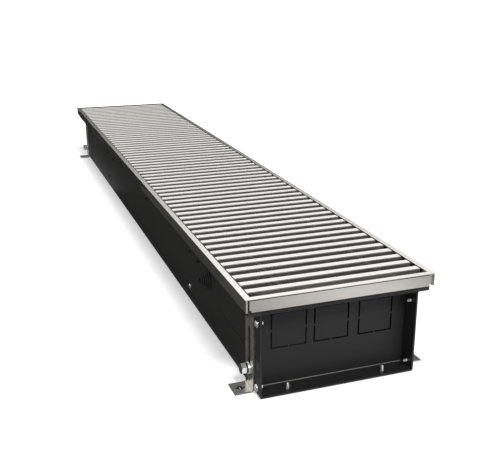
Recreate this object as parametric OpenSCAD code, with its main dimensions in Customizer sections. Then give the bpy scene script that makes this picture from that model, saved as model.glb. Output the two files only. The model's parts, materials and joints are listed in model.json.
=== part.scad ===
// Trench convector heater: a sheet-steel trough let into the floor, an aluminium
// edge frame with a roll-up bar grille, and a finned exchanger with its valves.
// Millimetres. X is the width, Y the length (the near end is at -Y), Z is up.
// The origin is on the floor, under the middle of the heater.

/* [Overall size] */
// Length over the frame
length = 1500; // [1200:10:2400]
// Height from the floor to the top of the frame
height = 140; // [134:1:190]
// Gap under the trough with the feet drawn in
ground_gap = 1; // [0.9:0.1:4]

/* [Trough] */
// Outside width of the trough
trough_w = 218; // [212:1:224]
// Thickness of the folded sheet
sheet_t = 1.2; // [1:0.1:1.6]
// Outside radius of the folds along the floor
bend_r = 2.4; // [1.8:0.1:5]
// Distance from the frame's end to the trough's end
trough_inset = 5; // [4.5:0.1:8]
// Distance from the frame's side to the lip of the rim
rim_margin = 5; // [4.5:0.1:7]
// Height of the rim's turned-down lip
lip_h = 7.6; // [4:0.1:9]
// Depth of the recess in front of each end plate
end_recess = 26.5; // [22:0.5:32]

/* [Knock-outs] */
// Side of a square pipe knock-out
ko_side = 50; // [40:1:52]
// Width of the slit round a knock-out
ko_slit = 2.3; // [1:0.1:3]
// Width of a holding tab
ko_tab = 2.5; // [1.5:0.1:5]
// Height of the knock-outs' lower edge above the trough's underside
ko_base = 52; // [48:1:56]
// Place across the width of the spare knock-out
spare_x = -60.5; // [-70:0.5:-58]
// Length of the side knock-out from the trough's near end
side_ko_len = 167; // [140:1:190]
// Height of the side knock-out's lower edge above the trough's underside
side_ko_base = 50; // [40:1:60]
// Width of the slit round the side knock-out
side_slit = 1; // [0.6:0.1:2]

/* [Frame] */
// Reach of the frame past each wall of the trough
frame_reach = 21; // [20:0.5:30]
// Height of the frame's web
frame_web_h = 17.4; // [16:0.1:20]
// Thickness of the frame's web
frame_web_t = 2.4; // [1.6:0.1:2.6]
// Width of the frame's top flange
frame_top_w = 8; // [7:0.1:9]
// Thickness of the frame's top flange
frame_top_t = 1; // [0.8:0.1:2]
// Thickness of the frame's leg on the rim
frame_leg_t = 1.5; // [1:0.1:2]
// Step from the top flange's edge back to the web
frame_reveal = 1; // [0.2:0.1:1.2]
// Height of the groove under the top flange
groove_h = 1.4; // [0.6:0.1:1.6]
// Depth of the groove in the web
groove_d = 1.2; // [0.6:0.1:1.4]
// Cut-back of the end web from the frame's left side
fascia_cut_left = 5.5; // [4:0.1:9]
// Cut-back of the end web from the frame's right side
fascia_cut_right = 8; // [4:0.1:9]
// Arm length of a corner key
key_arm = 28; // [20:1:40]
// Width of a corner key
key_w = 4; // [3:0.1:4.5]
// Gap between a corner key and the frame's leg
key_gap = 0.3; // [0.2:0.1:6]

/* [Grille] */
// Width of a grille bar
bar_w = 12; // [10:0.5:14]
// Distance from one bar to the next
bar_pitch = 24.15; // [20:0.05:28]
// Wall of a grille bar
bar_wall = 1.2; // [1:0.1:1.6]
// Corner radius of a grille bar
bar_r = 1; // [0.6:0.1:2]
// Place of the first bar's centre from the frame's near end
bar_start = 27.8; // [22:0.1:30]
// Least distance from the last bar's centre to the frame's far end
bar_finish = 20; // [16:0.5:26]
// Drop of the bars below the frame's top
bar_drop = 0.5; // [0.2:0.1:1]
// Gap between a bar's end and the frame's top flange
bar_end_gap = 2; // [1.5:0.1:3]
// Thickness of the rubber pad under the bars
pad_t = 3; // [2:0.1:4]
// Width of the rubber pad under the bars
pad_w = 5; // [4:0.1:6]
// Radius of a grille spring
spring_r = 2; // [1.5:0.1:2.6]
// Distance from a bar's end to a grille spring
spring_inset = 50; // [30:1:80]
// Radius of a spacer sleeve
spacer_r = 4; // [3.4:0.1:5]

/* [Feet] */
// Width of a foot
foot_w = 28; // [22:1:32]
// Thickness of a foot
foot_t = 2; // [1.5:0.1:3]
// Height of a foot's leg
foot_leg_h = 104; // [98:1:108]
// Reach of a foot's plate from the trough's wall
foot_reach = 26; // [22:0.5:34]
// Travel of a foot
foot_travel = 54; // [30:1:56]
// Height of a foot bolt above the floor
foot_bolt_z = 28.5; // [28:0.5:34]
// Length of each slot in a foot's cross
cross_len = 13; // [10:0.5:15]
// Width of each slot in a foot's cross
cross_w = 5; // [4:0.1:6]
// Distance from the trough's wall to the middle of the cross
cross_reach = 14.5; // [13:0.5:16]
// Radius of the small holes in a foot's leg
leg_hole_r = 2; // [1:0.1:2.5]

/* [Fasteners] */
// Radius of a foot bolt
bolt_r = 4; // [3:0.1:4.2]
// Width across the flats of a foot bolt's head and nut
bolt_flats = 13; // [10:0.5:14]
// Height of a foot bolt's head
bolt_head_h = 6.5; // [4:0.1:7]
// Thickness of a foot bolt's nut
nut_t = 6.5; // [5:0.1:7]
// Radius of a foot bolt's washer
washer_r = 8; // [7:0.1:10]
// Thickness of a foot bolt's washer
washer_t = 1.6; // [1:0.1:2.5]
// Number of plain washers on a foot bolt
washer_count = 2; // [1:1:3]
// Radius of the rubber ring under a foot bolt's head
ring_r = 6.7; // [6:0.1:7.4]
// Thickness of the rubber ring under a foot bolt's head
ring_t = 2; // [1:0.1:2.5]
// Radius of a sheet screw's thread
screw_r = 2.3; // [1.8:0.1:2.6]
// Radius of an end-plate screw's head
screw_head_r = 4.8; // [4:0.1:5.5]
// Height of an end-plate screw's head
screw_head_h = 2.6; // [2:0.1:4]
// Length of an end-plate screw under its head
screw_len = 8; // [5:0.1:12]
// Length of a floor screw over its head
floor_screw_len = 10.5; // [6:0.1:12]
// Radius of a wall screw's head
wall_head_r = 4; // [3.4:0.1:5]
// Radius of a rivet's shank
rivet_r = 1.6; // [1.2:0.1:2]
// Radius of a rivet's head
rivet_head_r = 2.8; // [2.4:0.1:3.4]
// Height of a rivet's head
rivet_head_h = 0.9; // [0.6:0.1:1.4]

/* [Cable grommet] */
// Place of the grommet along the length, from the frame's near end
grommet_y = 219; // [200:1:235]
// Height of the grommet above the trough's underside
grommet_z = 80; // [70:1:90]
// Radius of the grommet's flange
grommet_r = 17; // [14:0.5:20]
// Radius of the grommet's tip
grommet_tip_r = 4.5; // [4:0.1:7]
// Length of the grommet's stepped cone
grommet_len = 15; // [10:0.5:24]
// Number of steps on the grommet's cone
grommet_steps = 6; // [3:1:8]
// Radius of the cable hole
cable_r = 3; // [2:0.1:3.5]

/* [Exchanger] */
// Place across the width of the supply pipe
supply_x = -1; // [-6:0.5:1]
// Place across the width of the return pipe
return_x = 62.5; // [60:0.5:66]
// Width of a fin
fin_w = 110; // [96:1:120]
// Height of a fin
fin_h = 60; // [54:1:64]
// Thickness of a fin
fin_t = 0.5; // [0.3:0.1:1]
// Distance from one fin to the next
fin_pitch = 8; // [6:0.5:12]
// Place of the first fin from the frame's near end
fin_start = 300; // [296:1:320]
// Gap between the last fin and the frame's far end
fin_end_gap = 100; // [80:1:140]
// Radius of a tube
tube_r = 7.5; // [6:0.1:9]
// Wall of a tube
tube_wall = 1; // [0.7:0.1:1.5]
// Distance between a lower and an upper tube
tube_rise = 30; // [26:1:34]
// Straight length of a tube past the fins
tube_stub = 10; // [6:1:16]

/* [Supports] */
// Height of a cradle's shelf above the trough's underside
cradle_h = 21; // [16:0.5:26]
// Width of a cradle along the length
cradle_w = 24; // [18:1:34]
// Distance from the first brace to the near cradle
cradle_near = 50; // [40:1:70]
// Distance from the third brace to the far cradle
cradle_far = 79; // [40:1:100]
// Width of a cross brace along the length
brace_w = 20; // [14:1:26]
// Place of the first brace from the frame's near end
brace_first = 279; // [276:1:284]
// Place of the last brace from the frame's far end
brace_last = 111; // [105:1:125]
// Height of the upper wall screws above the trough's underside
wall_screw_high = 87.5; // [84:0.5:89]
// Height of the lower wall screws above the trough's underside
wall_screw_low = 26; // [24:0.5:30]
// Width of the flanges on the air baffle
baffle_flange = 10; // [8:0.5:14]
// Gap between the air baffle and the fins
baffle_gap = 2; // [1:0.1:4]

/* [Valves] */
// Place of the valves' near faces from the frame's near end
valve_start = 130; // [100:1:134]
// Length of a valve body
valve_len = 56; // [50:1:60]
// Radius of a valve body
valve_r = 12; // [11:0.1:13]
// Radius of a connection thread's wall
port_r = 9.3; // [8:0.1:9.5]
// Depth of a connection thread
port_depth = 14; // [10:0.5:16]
// Radius of the supply valve's hand cap
hand_cap_r = 16; // [14:0.5:20]
// Height of the supply valve's hand cap
hand_cap_h = 18; // [12:0.5:22]
// Radius of the return valve's lockshield cap
lock_cap_r = 10.5; // [9:0.5:14]
// Height of the return valve's lockshield cap
lock_cap_h = 14; // [10:0.5:18]
// Place of the bleed valve from the frame's near end
bleed_y = 252; // [250:1:256]
// Radius of the bleed valve's boss
bleed_r = 6; // [5:0.1:7]

/* [Hidden] */
$fn = 48;
// Overrun of every cut
cut = 1;
// Clearance of a piece pushed through another
fit = 0.05;
// Gap between faces that slide past each other
slide_gap = 0.2;
// Gap between a turning cap and the valve under it
turn_gap = 0.3;

// Levels
under_z = ground_gap;
floor_z = under_z + sheet_t;
rim_z = height - frame_web_h;
leg_z = rim_z + frame_leg_t;
pad_z = leg_z + pad_t;
bar_z = pad_z + slide_gap;
bar_top_z = height - bar_drop;
bar_h = bar_top_z - bar_z;
bar_mid_z = (bar_z + bar_top_z) / 2;

// Places along the length and across the width
near_y = -length / 2;
frame_w = trough_w + 2 * frame_reach;
trough_y = near_y + trough_inset;
plate_y = trough_y + end_recess;
wall_x = trough_w / 2;
inner_x = wall_x - sheet_t;
rim_x = frame_w / 2 - rim_margin;
leg_w = frame_w / 2 - inner_x;

// Grille
bar_count = floor((length - bar_start - bar_finish) / bar_pitch) + 1;
bar_half = frame_w / 2 - frame_top_w - bar_end_gap;
spring_x = bar_half - spring_inset;
first_bar_y = near_y + bar_start;
grille_len = (bar_count - 1) * bar_pitch + bar_w;

// Feet: the bolt's nut stands clear of the end plate
nut_clear = 0.3;
foot_y = plate_y + sheet_t + bolt_flats / 2 + nut_clear;
leg_x = wall_x + slide_gap;
washer_x = leg_x + foot_t + slide_gap;
ring_x = washer_x + washer_count * washer_t;
head_x = ring_x + ring_t;
slot_r = bolt_r + turn_gap;
bolt_past = 1;
leg_hole_low_share = 0.11;
leg_hole_mid_share = 0.19;
leg_hole_high_share = 0.92;

// End-plate screws: places on the flanges
end_screw_share = 0.46;
end_screw_low = 10;
end_screw_drop = 23.6;
end_screw_y = trough_y + end_recess * end_screw_share;
end_screw_low_z = under_z + end_screw_low;
end_screw_high_z = rim_z - end_screw_drop;
floor_screw_share = 0.38;
floor_screw_x = 68;
floor_screw_y = trough_y + end_recess * floor_screw_share;
floor_head_share = 0.8;
floor_head_h = ground_gap * floor_head_share;
floor_head_r = 3.6;
screw_tip_share = 0.12;
screw_blunt_share = 0.7;
crown_share = 0.55;
socket_share = 0.5;

// Rivets of the frame
rivet_in = 12.5;
rivet_margin = 90;
side_rivets = 7;
end_rivets = 3;
rivet_tail_h = 1.5;
rivet_tail_r = 2.4;

// Exchanger: the tubes line up with the knock-outs
exch_x = (supply_x + return_x) / 2;
tube_span = return_x - supply_x;
shelf_z = under_z + cradle_h;
fin_mid_z = shelf_z + fin_h / 2;
low_z = fin_mid_z - tube_rise / 2;
high_z = fin_mid_z + tube_rise / 2;
fin_first_y = near_y + fin_start;
fin_run = length - fin_start - fin_end_gap;
fin_count = floor(fin_run / fin_pitch) + 1;
fin_last_y = fin_first_y + (fin_count - 1) * fin_pitch + fin_t;
tube_near_y = fin_first_y - tube_stub;
tube_far_y = fin_last_y + tube_stub;

// Supports
brace_count = 4;
brace_pitch = (length - brace_first - brace_last) / (brace_count - 1);
function brace_y(i) = near_y + brace_first + i * brace_pitch;
cradle_near_y = brace_y(0) + cradle_near;
cradle_far_y = brace_y(2) + cradle_far;
high_screw_z = under_z + wall_screw_high;
low_screw_z = under_z + wall_screw_low;
tab_rise = 8;
brace_z = high_screw_z + tab_rise - sheet_t;
baffle_x = exch_x - fin_w / 2 - baffle_gap - sheet_t;
baffle_lead = 34;
baffle_trail = 6;
baffle_screw_r = 1.6;
baffle_screw_head_r = 3.2;
baffle_screw_head_h = 2;
wall_screw_len = 7;
wall_head_h = 2.2;
spare_hole_r = 2.2;
spare_hole_low = 44;
spare_high_share = 0.618;
spare_low_share = 0.798;

// Valves, from the near end: body, seal, union nut, tail
valve_y = near_y + valve_start;
valve_end_y = valve_y + valve_len;
valve_hex_r = 14.5;
valve_neck_r = 10;
valve_neck_len = 12;
valve_bore_r = 6;
valve_stem_r = 9;
valve_stem_h = 18;
stem_share = 0.45;
seal_t = 2;
collar_t = 3;
tail_len = 20;
tail_wall = 1.2;
tail_r = tube_r + tail_wall;
tail_y = valve_end_y + seal_t;
union_r = 14.5;
union_len = 17;
stem_y = valve_y + valve_len * stem_share;
stem_top_z = high_z + valve_stem_h;
spindle_r = 3;
spindle_h = 6;
cap_skirt = 5;
cap_wall = 2;
flute_count = 12;
flute_r = 2;
lock_cap_flats = 6;

// Bleed valve
bleed_half = 8;
bleed_rise = 9;
bleed_top_z = high_z + tube_r + bleed_rise;
bleed_screw_r = 3;
bleed_depth = 6;
bleed_key = 5;
bleed_key_h = 5;

// Cable grommet
grommet_base_z = under_z + grommet_z;
grommet_lip_t = 2;
grommet_back_r = 14;
grommet_hole_r = 12;

// Shared shapes

// A copy on each side of the width
module both_sides() {
  children();
  mirror([1, 0, 0]) children();
}

// A copy at each end of the length
module both_ends() {
  children();
  mirror([0, 1, 0]) children();
}

// Runs a drawing, in X and Z, along the length between two places
module along_y(y0, y1) {
  translate([0, y1, 0]) rotate([90, 0, 0]) linear_extrude(height = y1 - y0) children();
}

// A block between two corners
module block(low, high) {
  translate(low) cube(high - low);
}

// A rod along the length
module rod_y(x, y0, y1, z, r) {
  translate([x, y0, z]) rotate([-90, 0, 0]) cylinder(h = y1 - y0, r = r);
}

// A rod across the width
module rod_x(x0, x1, y, z, r) {
  translate([x0, y, z]) rotate([0, 90, 0]) cylinder(h = x1 - x0, r = r);
}

// A rod upwards
module rod_z(x, y, z0, z1, r) {
  translate([x, y, z0]) cylinder(h = z1 - z0, r = r);
}

// A screw with its head's seat at zero, its thread below and a hex socket in its crown
module sheet_screw(len, r, head_r, head_h) {
  tip = len * screw_tip_share;
  difference() {
    rotate_extrude() polygon([
      [0, -len], [r * screw_blunt_share, -len], [r, -len + tip], [r, 0], [head_r, 0],
      [head_r, head_h / 2], [head_r * crown_share, head_h], [0, head_h]
    ]);
    translate([0, 0, head_h * socket_share]) cylinder(h = head_h, r = head_r / 2, $fn = 6);
  }
}

// A screw driven through the left wall from outside
module wall_screw(y, z, len, head_r, head_h) {
  translate([-wall_x, y, z]) rotate([0, -90, 0]) sheet_screw(len, screw_r, head_r, head_h);
}

// A clearance hole through the left wall and what lies on its inner face
module wall_hole(y, z) {
  rod_x(-wall_x - cut, -inner_x + sheet_t + cut, y, z, screw_r + fit);
}

// Trough

// The outline of a channel's floor and sides, rounded at its foot
module channel_fill(w, base_z, top_z, r) {
  translate([-w / 2, base_z + r]) square([w, top_z - base_z - r]);
  translate([-w / 2 + r, base_z]) square([w - 2 * r, r]);
  for (side = [-1, 1]) translate([side * (w / 2 - r), base_z + r]) circle(r = r);
}

// The folded section of the trough: floor, walls, outward rims and their lips
module trough_section() {
  difference() {
    channel_fill(trough_w, under_z, rim_z, bend_r);
    channel_fill(trough_w - 2 * sheet_t, floor_z, rim_z + cut, bend_r - sheet_t);
  }
  for (side = [0, 1]) mirror([side, 0]) {
    translate([wall_x - sheet_t, rim_z - sheet_t]) square([rim_x - wall_x + sheet_t, sheet_t]);
    translate([rim_x - sheet_t, rim_z - lip_h]) square([sheet_t, lip_h]);
  }
}

// Slits round the side knock-out of the left wall, with tabs left between them
module side_knockout_cuts() {
  y1 = trough_y + side_ko_len;
  z0 = under_z + side_ko_base;
  y_step = side_ko_len / 3;
  z_step = (rim_z - lip_h - z0) / 2;
  for (i = [0:2])
    block([-wall_x - cut, trough_y + i * y_step + ko_tab, z0],
          [-inner_x + cut, trough_y + (i + 1) * y_step, z0 + side_slit]);
  for (i = [0:1])
    block([-wall_x - cut, y1 - side_slit, z0 + i * z_step],
          [-inner_x + cut, y1, z0 + (i + 1) * z_step - ko_tab]);
}

// A hole through the left wall alone
module left_hole(y, z, r) {
  rod_x(-wall_x - cut, -inner_x + cut, y, z, r);
}

module trough_body() {
  color("#2b2b2b") difference() {
    union() {
      along_y(trough_y, -trough_y) trough_section();
      // Short returns that close the rims' ends
      both_ends() both_sides()
        block([wall_x - sheet_t, trough_y, rim_z - lip_h], [rim_x, trough_y + sheet_t, rim_z]);
    }
    side_knockout_cuts();
    both_sides() {
      both_ends() {
        for (z = [end_screw_low_z, end_screw_high_z]) wall_hole(end_screw_y, z);
        left_hole(foot_y, foot_bolt_z, bolt_r + fit);
        rod_z(floor_screw_x, floor_screw_y, under_z - cut, floor_z + cut, screw_r + fit);
      }
      for (y = [cradle_near_y, cradle_far_y], z = [low_screw_z, high_screw_z]) wall_hole(y, z);
      for (i = [0:brace_count - 1]) wall_hole(brace_y(i), high_screw_z);
    }
    left_hole(near_y + length * spare_high_share, high_screw_z, spare_hole_r);
    left_hole(near_y + length * spare_low_share, under_z + spare_hole_low, spare_hole_r);
    left_hole(near_y + grommet_y, grommet_base_z, grommet_hole_r);
    rivet_holes();
  }
}

// A rectangular hole through the near end plate
module plate_hole(x, z, w, h) {
  block([x, plate_y - cut, z], [x + w, plate_y + sheet_t + cut, z + h]);
}

// Slits of one square knock-out, with a tab left in the middle of each side
module knockout_cuts(x) {
  z0 = under_z + ko_base;
  run = (ko_side - ko_tab) / 2;
  for (x0 = [x - ko_side / 2, x + ko_tab / 2], z = [z0, z0 + ko_side - ko_slit])
    plate_hole(x0, z, run, ko_slit);
  for (x0 = [x - ko_side / 2, x + ko_side / 2 - ko_slit], z = [z0, z0 + ko_side - run])
    plate_hole(x0, z, ko_slit, run);
}

// The hollow of the fold where the plate meets its lower flange
module plate_fold() {
  x = inner_x - bend_r;
  r = bend_r - sheet_t;
  z = floor_z + sheet_t;
  difference() {
    block([-x, plate_y - r, z], [x, plate_y, z + r]);
    rod_x(-x - cut, x + cut, plate_y - r, z + r, r);
  }
}

// The tray that closes the near end: a recessed plate with flanges towards the end
module end_plate() {
  difference() {
    union() {
      along_y(plate_y, plate_y + sheet_t) channel_fill(2 * inner_x, floor_z, rim_z, bend_r);
      along_y(trough_y, plate_y + sheet_t) difference() {
        channel_fill(2 * inner_x, floor_z, rim_z, bend_r);
        channel_fill(2 * (inner_x - sheet_t), floor_z + sheet_t, rim_z - sheet_t, bend_r - sheet_t);
      }
      block([-inner_x, trough_y, rim_z - lip_h], [inner_x, trough_y + sheet_t, rim_z]);
      plate_fold();
    }
    for (x = [spare_x, supply_x, return_x]) knockout_cuts(x);
    both_sides() {
      for (z = [end_screw_low_z, end_screw_high_z]) wall_hole(end_screw_y, z);
      rod_z(floor_screw_x, floor_screw_y, floor_z - cut, floor_z + sheet_t + cut, screw_r + fit);
    }
    rivet_holes();
  }
}

module end_plate_near() {
  color("#2b2b2b") end_plate();
}

module end_plate_far() {
  color("#2b2b2b") mirror([0, 1, 0]) end_plate();
}

// Frame

// The frame's section at the left side: top flange, grooved web and leg
module frame_section() {
  x0 = -frame_w / 2;
  difference() {
    union() {
      translate([x0, height - frame_top_t]) square([frame_top_w, frame_top_t]);
      translate([x0 + frame_reveal, rim_z]) square([frame_web_t, frame_web_h]);
      translate([x0 + frame_reveal, rim_z]) square([leg_w - frame_reveal, frame_leg_t]);
    }
    translate([x0 - cut, height - frame_top_t - groove_h]) square([cut + frame_reveal + groove_d, groove_h]);
  }
}

// The notch in the legs at the near left corner, behind the cut-back of the end web
module leg_notch() {
  x0 = -frame_w / 2;
  web = frame_reveal + frame_web_t;
  block([x0 + web, near_y - cut, rim_z - cut],
        [x0 + max(fascia_cut_left, fascia_cut_right), near_y + web + key_w, leg_z + cut]);
}

// The plan of the left profile, mitred at both ends
module side_mitre() {
  x0 = -frame_w / 2;
  x1 = x0 + leg_w;
  translate([0, 0, rim_z - cut]) linear_extrude(height = frame_web_h + 2 * cut)
    polygon([[x0, near_y], [x1, near_y + leg_w], [x1, -near_y - leg_w], [x0, -near_y]]);
}

// The plan of the near profile, mitred at both ends
module end_mitre() {
  x0 = -frame_w / 2;
  y1 = near_y + leg_w;
  translate([0, 0, rim_z - cut]) linear_extrude(height = frame_web_h + 2 * cut)
    polygon([[x0, near_y], [-x0, near_y], [-x0 - leg_w, y1], [x0 + leg_w, y1]]);
}

module frame_side() {
  difference() {
    intersection() {
      along_y(near_y, -near_y) frame_section();
      side_mitre();
    }
    both_ends() leg_notch();
    rivet_holes();
  }
}

// The square end of the left profile's web, which shows beside the end web
module square_web_end() {
  x0 = -frame_w / 2 + frame_reveal;
  block([x0, near_y + frame_reveal, rim_z],
        [x0 + frame_web_t, near_y + frame_reveal + frame_web_t, height - frame_top_t]);
}

module frame_end() {
  x0 = -frame_w / 2;
  difference() {
    intersection() {
      // The same section, turned to run across the width
      translate([0, near_y + frame_w / 2, 0]) rotate([0, 0, 90])
        along_y(-frame_w / 2, frame_w / 2) frame_section();
      end_mitre();
    }
    // The web is cut back clear of both corners
    block([x0 - cut, near_y - cut, rim_z - cut],
          [x0 + fascia_cut_left, near_y + frame_reveal + frame_web_t, height - frame_top_t]);
    block([-x0 - fascia_cut_right, near_y - cut, rim_z - cut],
          [-x0 + cut, near_y + frame_reveal + frame_web_t, height - frame_top_t]);
    both_sides() leg_notch();
    rivet_holes();
  }
}

module frame_left() {
  color("#b9b6ae") union() {
    frame_side();
    both_ends() square_web_end();
  }
}

module frame_right() {
  color("#b9b6ae") mirror([1, 0, 0]) frame_side();
}

module frame_near() {
  color("#c6c2bd") frame_end();
}

module frame_far() {
  color("#c6c2bd") mirror([0, 1, 0]) frame_end();
}

// Angle keys under the frame's top flange, one at each corner
module frame_corner_keys() {
  x0 = -frame_w / 2 + frame_reveal + frame_web_t;
  y0 = near_y + frame_reveal + frame_web_t;
  z0 = leg_z + key_gap;
  z1 = height - frame_top_t;
  color("#1a1a1a") both_ends() both_sides() {
    block([x0, y0, z0], [x0 + key_arm, y0 + key_w, z1]);
    block([x0, y0, z0], [x0 + key_w, y0 + key_arm, z1]);
  }
}

// Places of the rivets along one side and along one end
function side_rivet_y(i) = near_y + rivet_margin + i * (length - 2 * rivet_margin) / (side_rivets - 1);
function end_rivet_x(i) = -wall_x + rivet_margin / 2 + i * (trough_w - rivet_margin) / (end_rivets - 1);

// Puts what is drawn at each rivet
module at_rivets() {
  both_sides() for (i = [0:side_rivets - 1])
    translate([-frame_w / 2 + rivet_in, side_rivet_y(i), 0]) children();
  both_ends() for (i = [0:end_rivets - 1])
    translate([end_rivet_x(i), near_y + rivet_in, 0]) children();
}

module rivet_holes() {
  at_rivets() translate([0, 0, rim_z - sheet_t - cut])
    cylinder(h = sheet_t + frame_leg_t + 2 * cut, r = rivet_r + fit);
}

module frame_rivets() {
  color("#9a9a9a") at_rivets() {
    translate([0, 0, rim_z - sheet_t]) cylinder(h = sheet_t + frame_leg_t, r = rivet_r);
    translate([0, 0, leg_z]) cylinder(h = rivet_head_h, r1 = rivet_head_r, r2 = rivet_head_r * crown_share);
    translate([0, 0, rim_z - sheet_t - rivet_tail_h]) cylinder(h = rivet_tail_h, r = rivet_tail_r);
  }
}

// Grille

module grille_pad() {
  y0 = near_y + frame_top_w + bar_end_gap;
  block([-inner_x - pad_w, y0, leg_z], [-inner_x, -y0, pad_z]);
}

module grille_pad_left() {
  color("#151515") grille_pad();
}

module grille_pad_right() {
  color("#151515") mirror([1, 0, 0]) grille_pad();
}

// A rectangle with rounded corners, about the middle of a bar
module bar_outline(w, h, r) {
  square([w - 2 * r, h], center = true);
  square([w, h - 2 * r], center = true);
  for (i = [-1, 1], j = [-1, 1]) translate([i * (w / 2 - r), j * (h / 2 - r)]) circle(r = r);
}

module grille_bar() {
  rotate([0, 90, 0]) rotate([0, 0, 90]) linear_extrude(height = 2 * bar_half, center = true) difference() {
    bar_outline(bar_w, bar_h, bar_r);
    square([bar_w - 2 * bar_wall, bar_h - 2 * bar_wall], center = true);
  }
}

module grille_bars() {
  color("#e6e4de") for (i = [0:bar_count - 1]) translate([0, first_bar_y + i * bar_pitch, bar_mid_z])
    difference() {
      grille_bar();
      for (side = [-1, 1]) rod_y(side * spring_x, -bar_w, bar_w, 0, spring_r + slide_gap);
    }
}

// The springs on which the bars are threaded, drawn as their outer cylinders
module grille_springs() {
  y0 = first_bar_y - bar_w / 2;
  color("#a8a8a8") for (side = [-1, 1]) rod_y(side * spring_x, y0, y0 + grille_len, bar_mid_z, spring_r);
}

module grille_spacers() {
  gap = bar_pitch - bar_w;
  color("#1c1c1c") for (i = [0:bar_count - 2], side = [-1, 1]) {
    y0 = first_bar_y + i * bar_pitch + bar_w / 2 + fit;
    difference() {
      rod_y(side * spring_x, y0, y0 + gap - 2 * fit, bar_mid_z, spacer_r);
      rod_y(side * spring_x, y0 - cut, y0 + gap + cut, bar_mid_z, spring_r + slide_gap);
    }
  }
}

// Feet

// A slot upwards through the leg of a foot
module leg_slot(z0, z1, r) {
  for (z = [z0, z1]) rod_x(-leg_x - foot_t - cut, -leg_x + cut, foot_y, z, r);
  block([-leg_x - foot_t - cut, foot_y - r, z0], [-leg_x + cut, foot_y + r, z1]);
}

// One slot of the cross in a foot's plate, lengthwise or crosswise
module cross_slot(turn) {
  run = cross_len / 2 - cross_w / 2;
  translate([-wall_x - cross_reach, foot_y, -cut]) rotate([0, 0, turn]) {
    for (side = [-1, 1]) translate([side * run, 0, 0]) cylinder(h = foot_t + 2 * cut, r = cross_w / 2);
    translate([-run, -cross_w / 2, 0]) cube([2 * run, cross_w, foot_t + 2 * cut]);
  }
}

// The near left foot: a slotted leg on the wall and a plate on the floor
module foot() {
  y0 = foot_y - foot_w / 2;
  y1 = foot_y + foot_w / 2;
  difference() {
    union() {
      block([-leg_x - foot_t, y0, 0], [-leg_x, y1, foot_leg_h]);
      block([-wall_x - foot_reach, y0, 0], [-leg_x, y1, foot_t]);
    }
    leg_slot(foot_bolt_z, foot_bolt_z + foot_travel, slot_r);
    for (share = [leg_hole_low_share, leg_hole_mid_share, leg_hole_high_share])
      rod_x(-leg_x - foot_t - cut, -leg_x + cut, foot_y, foot_leg_h * share, leg_hole_r);
    cross_slot(0);
    cross_slot(90);
  }
}

module foot_near_left() {
  color("#b4b1a8") foot();
}

module foot_near_right() {
  color("#b4b1a8") mirror([1, 0, 0]) foot();
}

module foot_far_left() {
  color("#b4b1a8") mirror([0, 1, 0]) foot();
}

module foot_far_right() {
  color("#b4b1a8") mirror([1, 0, 0]) mirror([0, 1, 0]) foot();
}

// The four foot bolts: a hex head outside, and a shank through the slot and the wall
module foot_bolts() {
  shank_end = inner_x - nut_t - bolt_past;
  color("#c9c7c0") both_ends() both_sides() translate([0, foot_y, foot_bolt_z]) {
    translate([-head_x, 0, 0]) rotate([0, -90, 0])
      cylinder(h = bolt_head_h, r = bolt_flats / sqrt(3), $fn = 6);
    rod_x(-head_x, -shank_end, 0, 0, bolt_r);
  }
}

module foot_washers() {
  color("#c9c7c0") both_ends() both_sides() difference() {
    rod_x(-ring_x, -washer_x, foot_y, foot_bolt_z, washer_r);
    rod_x(-ring_x - cut, -washer_x + cut, foot_y, foot_bolt_z, bolt_r + fit);
  }
}

// Rubber rings between the bolts' heads and their washers
module foot_rings() {
  color("#151515") both_ends() both_sides() difference() {
    rod_x(-head_x, -ring_x, foot_y, foot_bolt_z, ring_r);
    rod_x(-head_x - cut, -ring_x + cut, foot_y, foot_bolt_z, bolt_r + fit);
  }
}

module foot_nuts() {
  color("#a9a7a0") both_ends() both_sides() difference() {
    translate([-inner_x, foot_y, foot_bolt_z]) rotate([0, 90, 0])
      cylinder(h = nut_t, r = bolt_flats / sqrt(3), $fn = 6);
    rod_x(-wall_x, -inner_x + nut_t + cut, foot_y, foot_bolt_z, bolt_r + fit);
  }
}

// Screws of the end plates

module end_plate_screws() {
  color("#cfcdc6") both_ends() both_sides() for (z = [end_screw_low_z, end_screw_high_z])
    wall_screw(end_screw_y, z, screw_len, screw_head_r, screw_head_h);
}

module end_floor_screws() {
  color("#cfcdc6") both_ends() both_sides() translate([floor_screw_x, floor_screw_y, under_z])
    mirror([0, 0, 1]) rotate_extrude() polygon([
      [0, -floor_screw_len], [screw_r * screw_blunt_share, -floor_screw_len],
      [screw_r, -floor_screw_len * (1 - screw_tip_share)],
      [screw_r, 0], [floor_head_r, 0], [floor_head_r, floor_head_h], [0, floor_head_h]
    ]);
}

// The cable grommet: a stepped cone outside the wall and a flange inside it
module cable_grommet() {
  step_l = grommet_len / grommet_steps;
  step_r = (grommet_r - grommet_tip_r) / (grommet_steps - 1);
  color("#161616") translate([-wall_x, near_y + grommet_y, grommet_base_z]) rotate([0, -90, 0]) difference() {
    union() {
      for (i = [0:grommet_steps - 1]) translate([0, 0, i * step_l])
        cylinder(h = step_l, r1 = grommet_r - i * step_r, r2 = grommet_r - i * step_r - step_r / 2);
      translate([0, 0, -sheet_t]) cylinder(h = sheet_t, r = grommet_hole_r - fit);
      translate([0, 0, -sheet_t - grommet_lip_t]) cylinder(h = grommet_lip_t, r = grommet_back_r);
    }
    translate([0, 0, -sheet_t - grommet_lip_t - cut])
      cylinder(h = grommet_len + sheet_t + grommet_lip_t + 2 * cut, r = cable_r);
  }
}

// Exchanger

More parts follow.
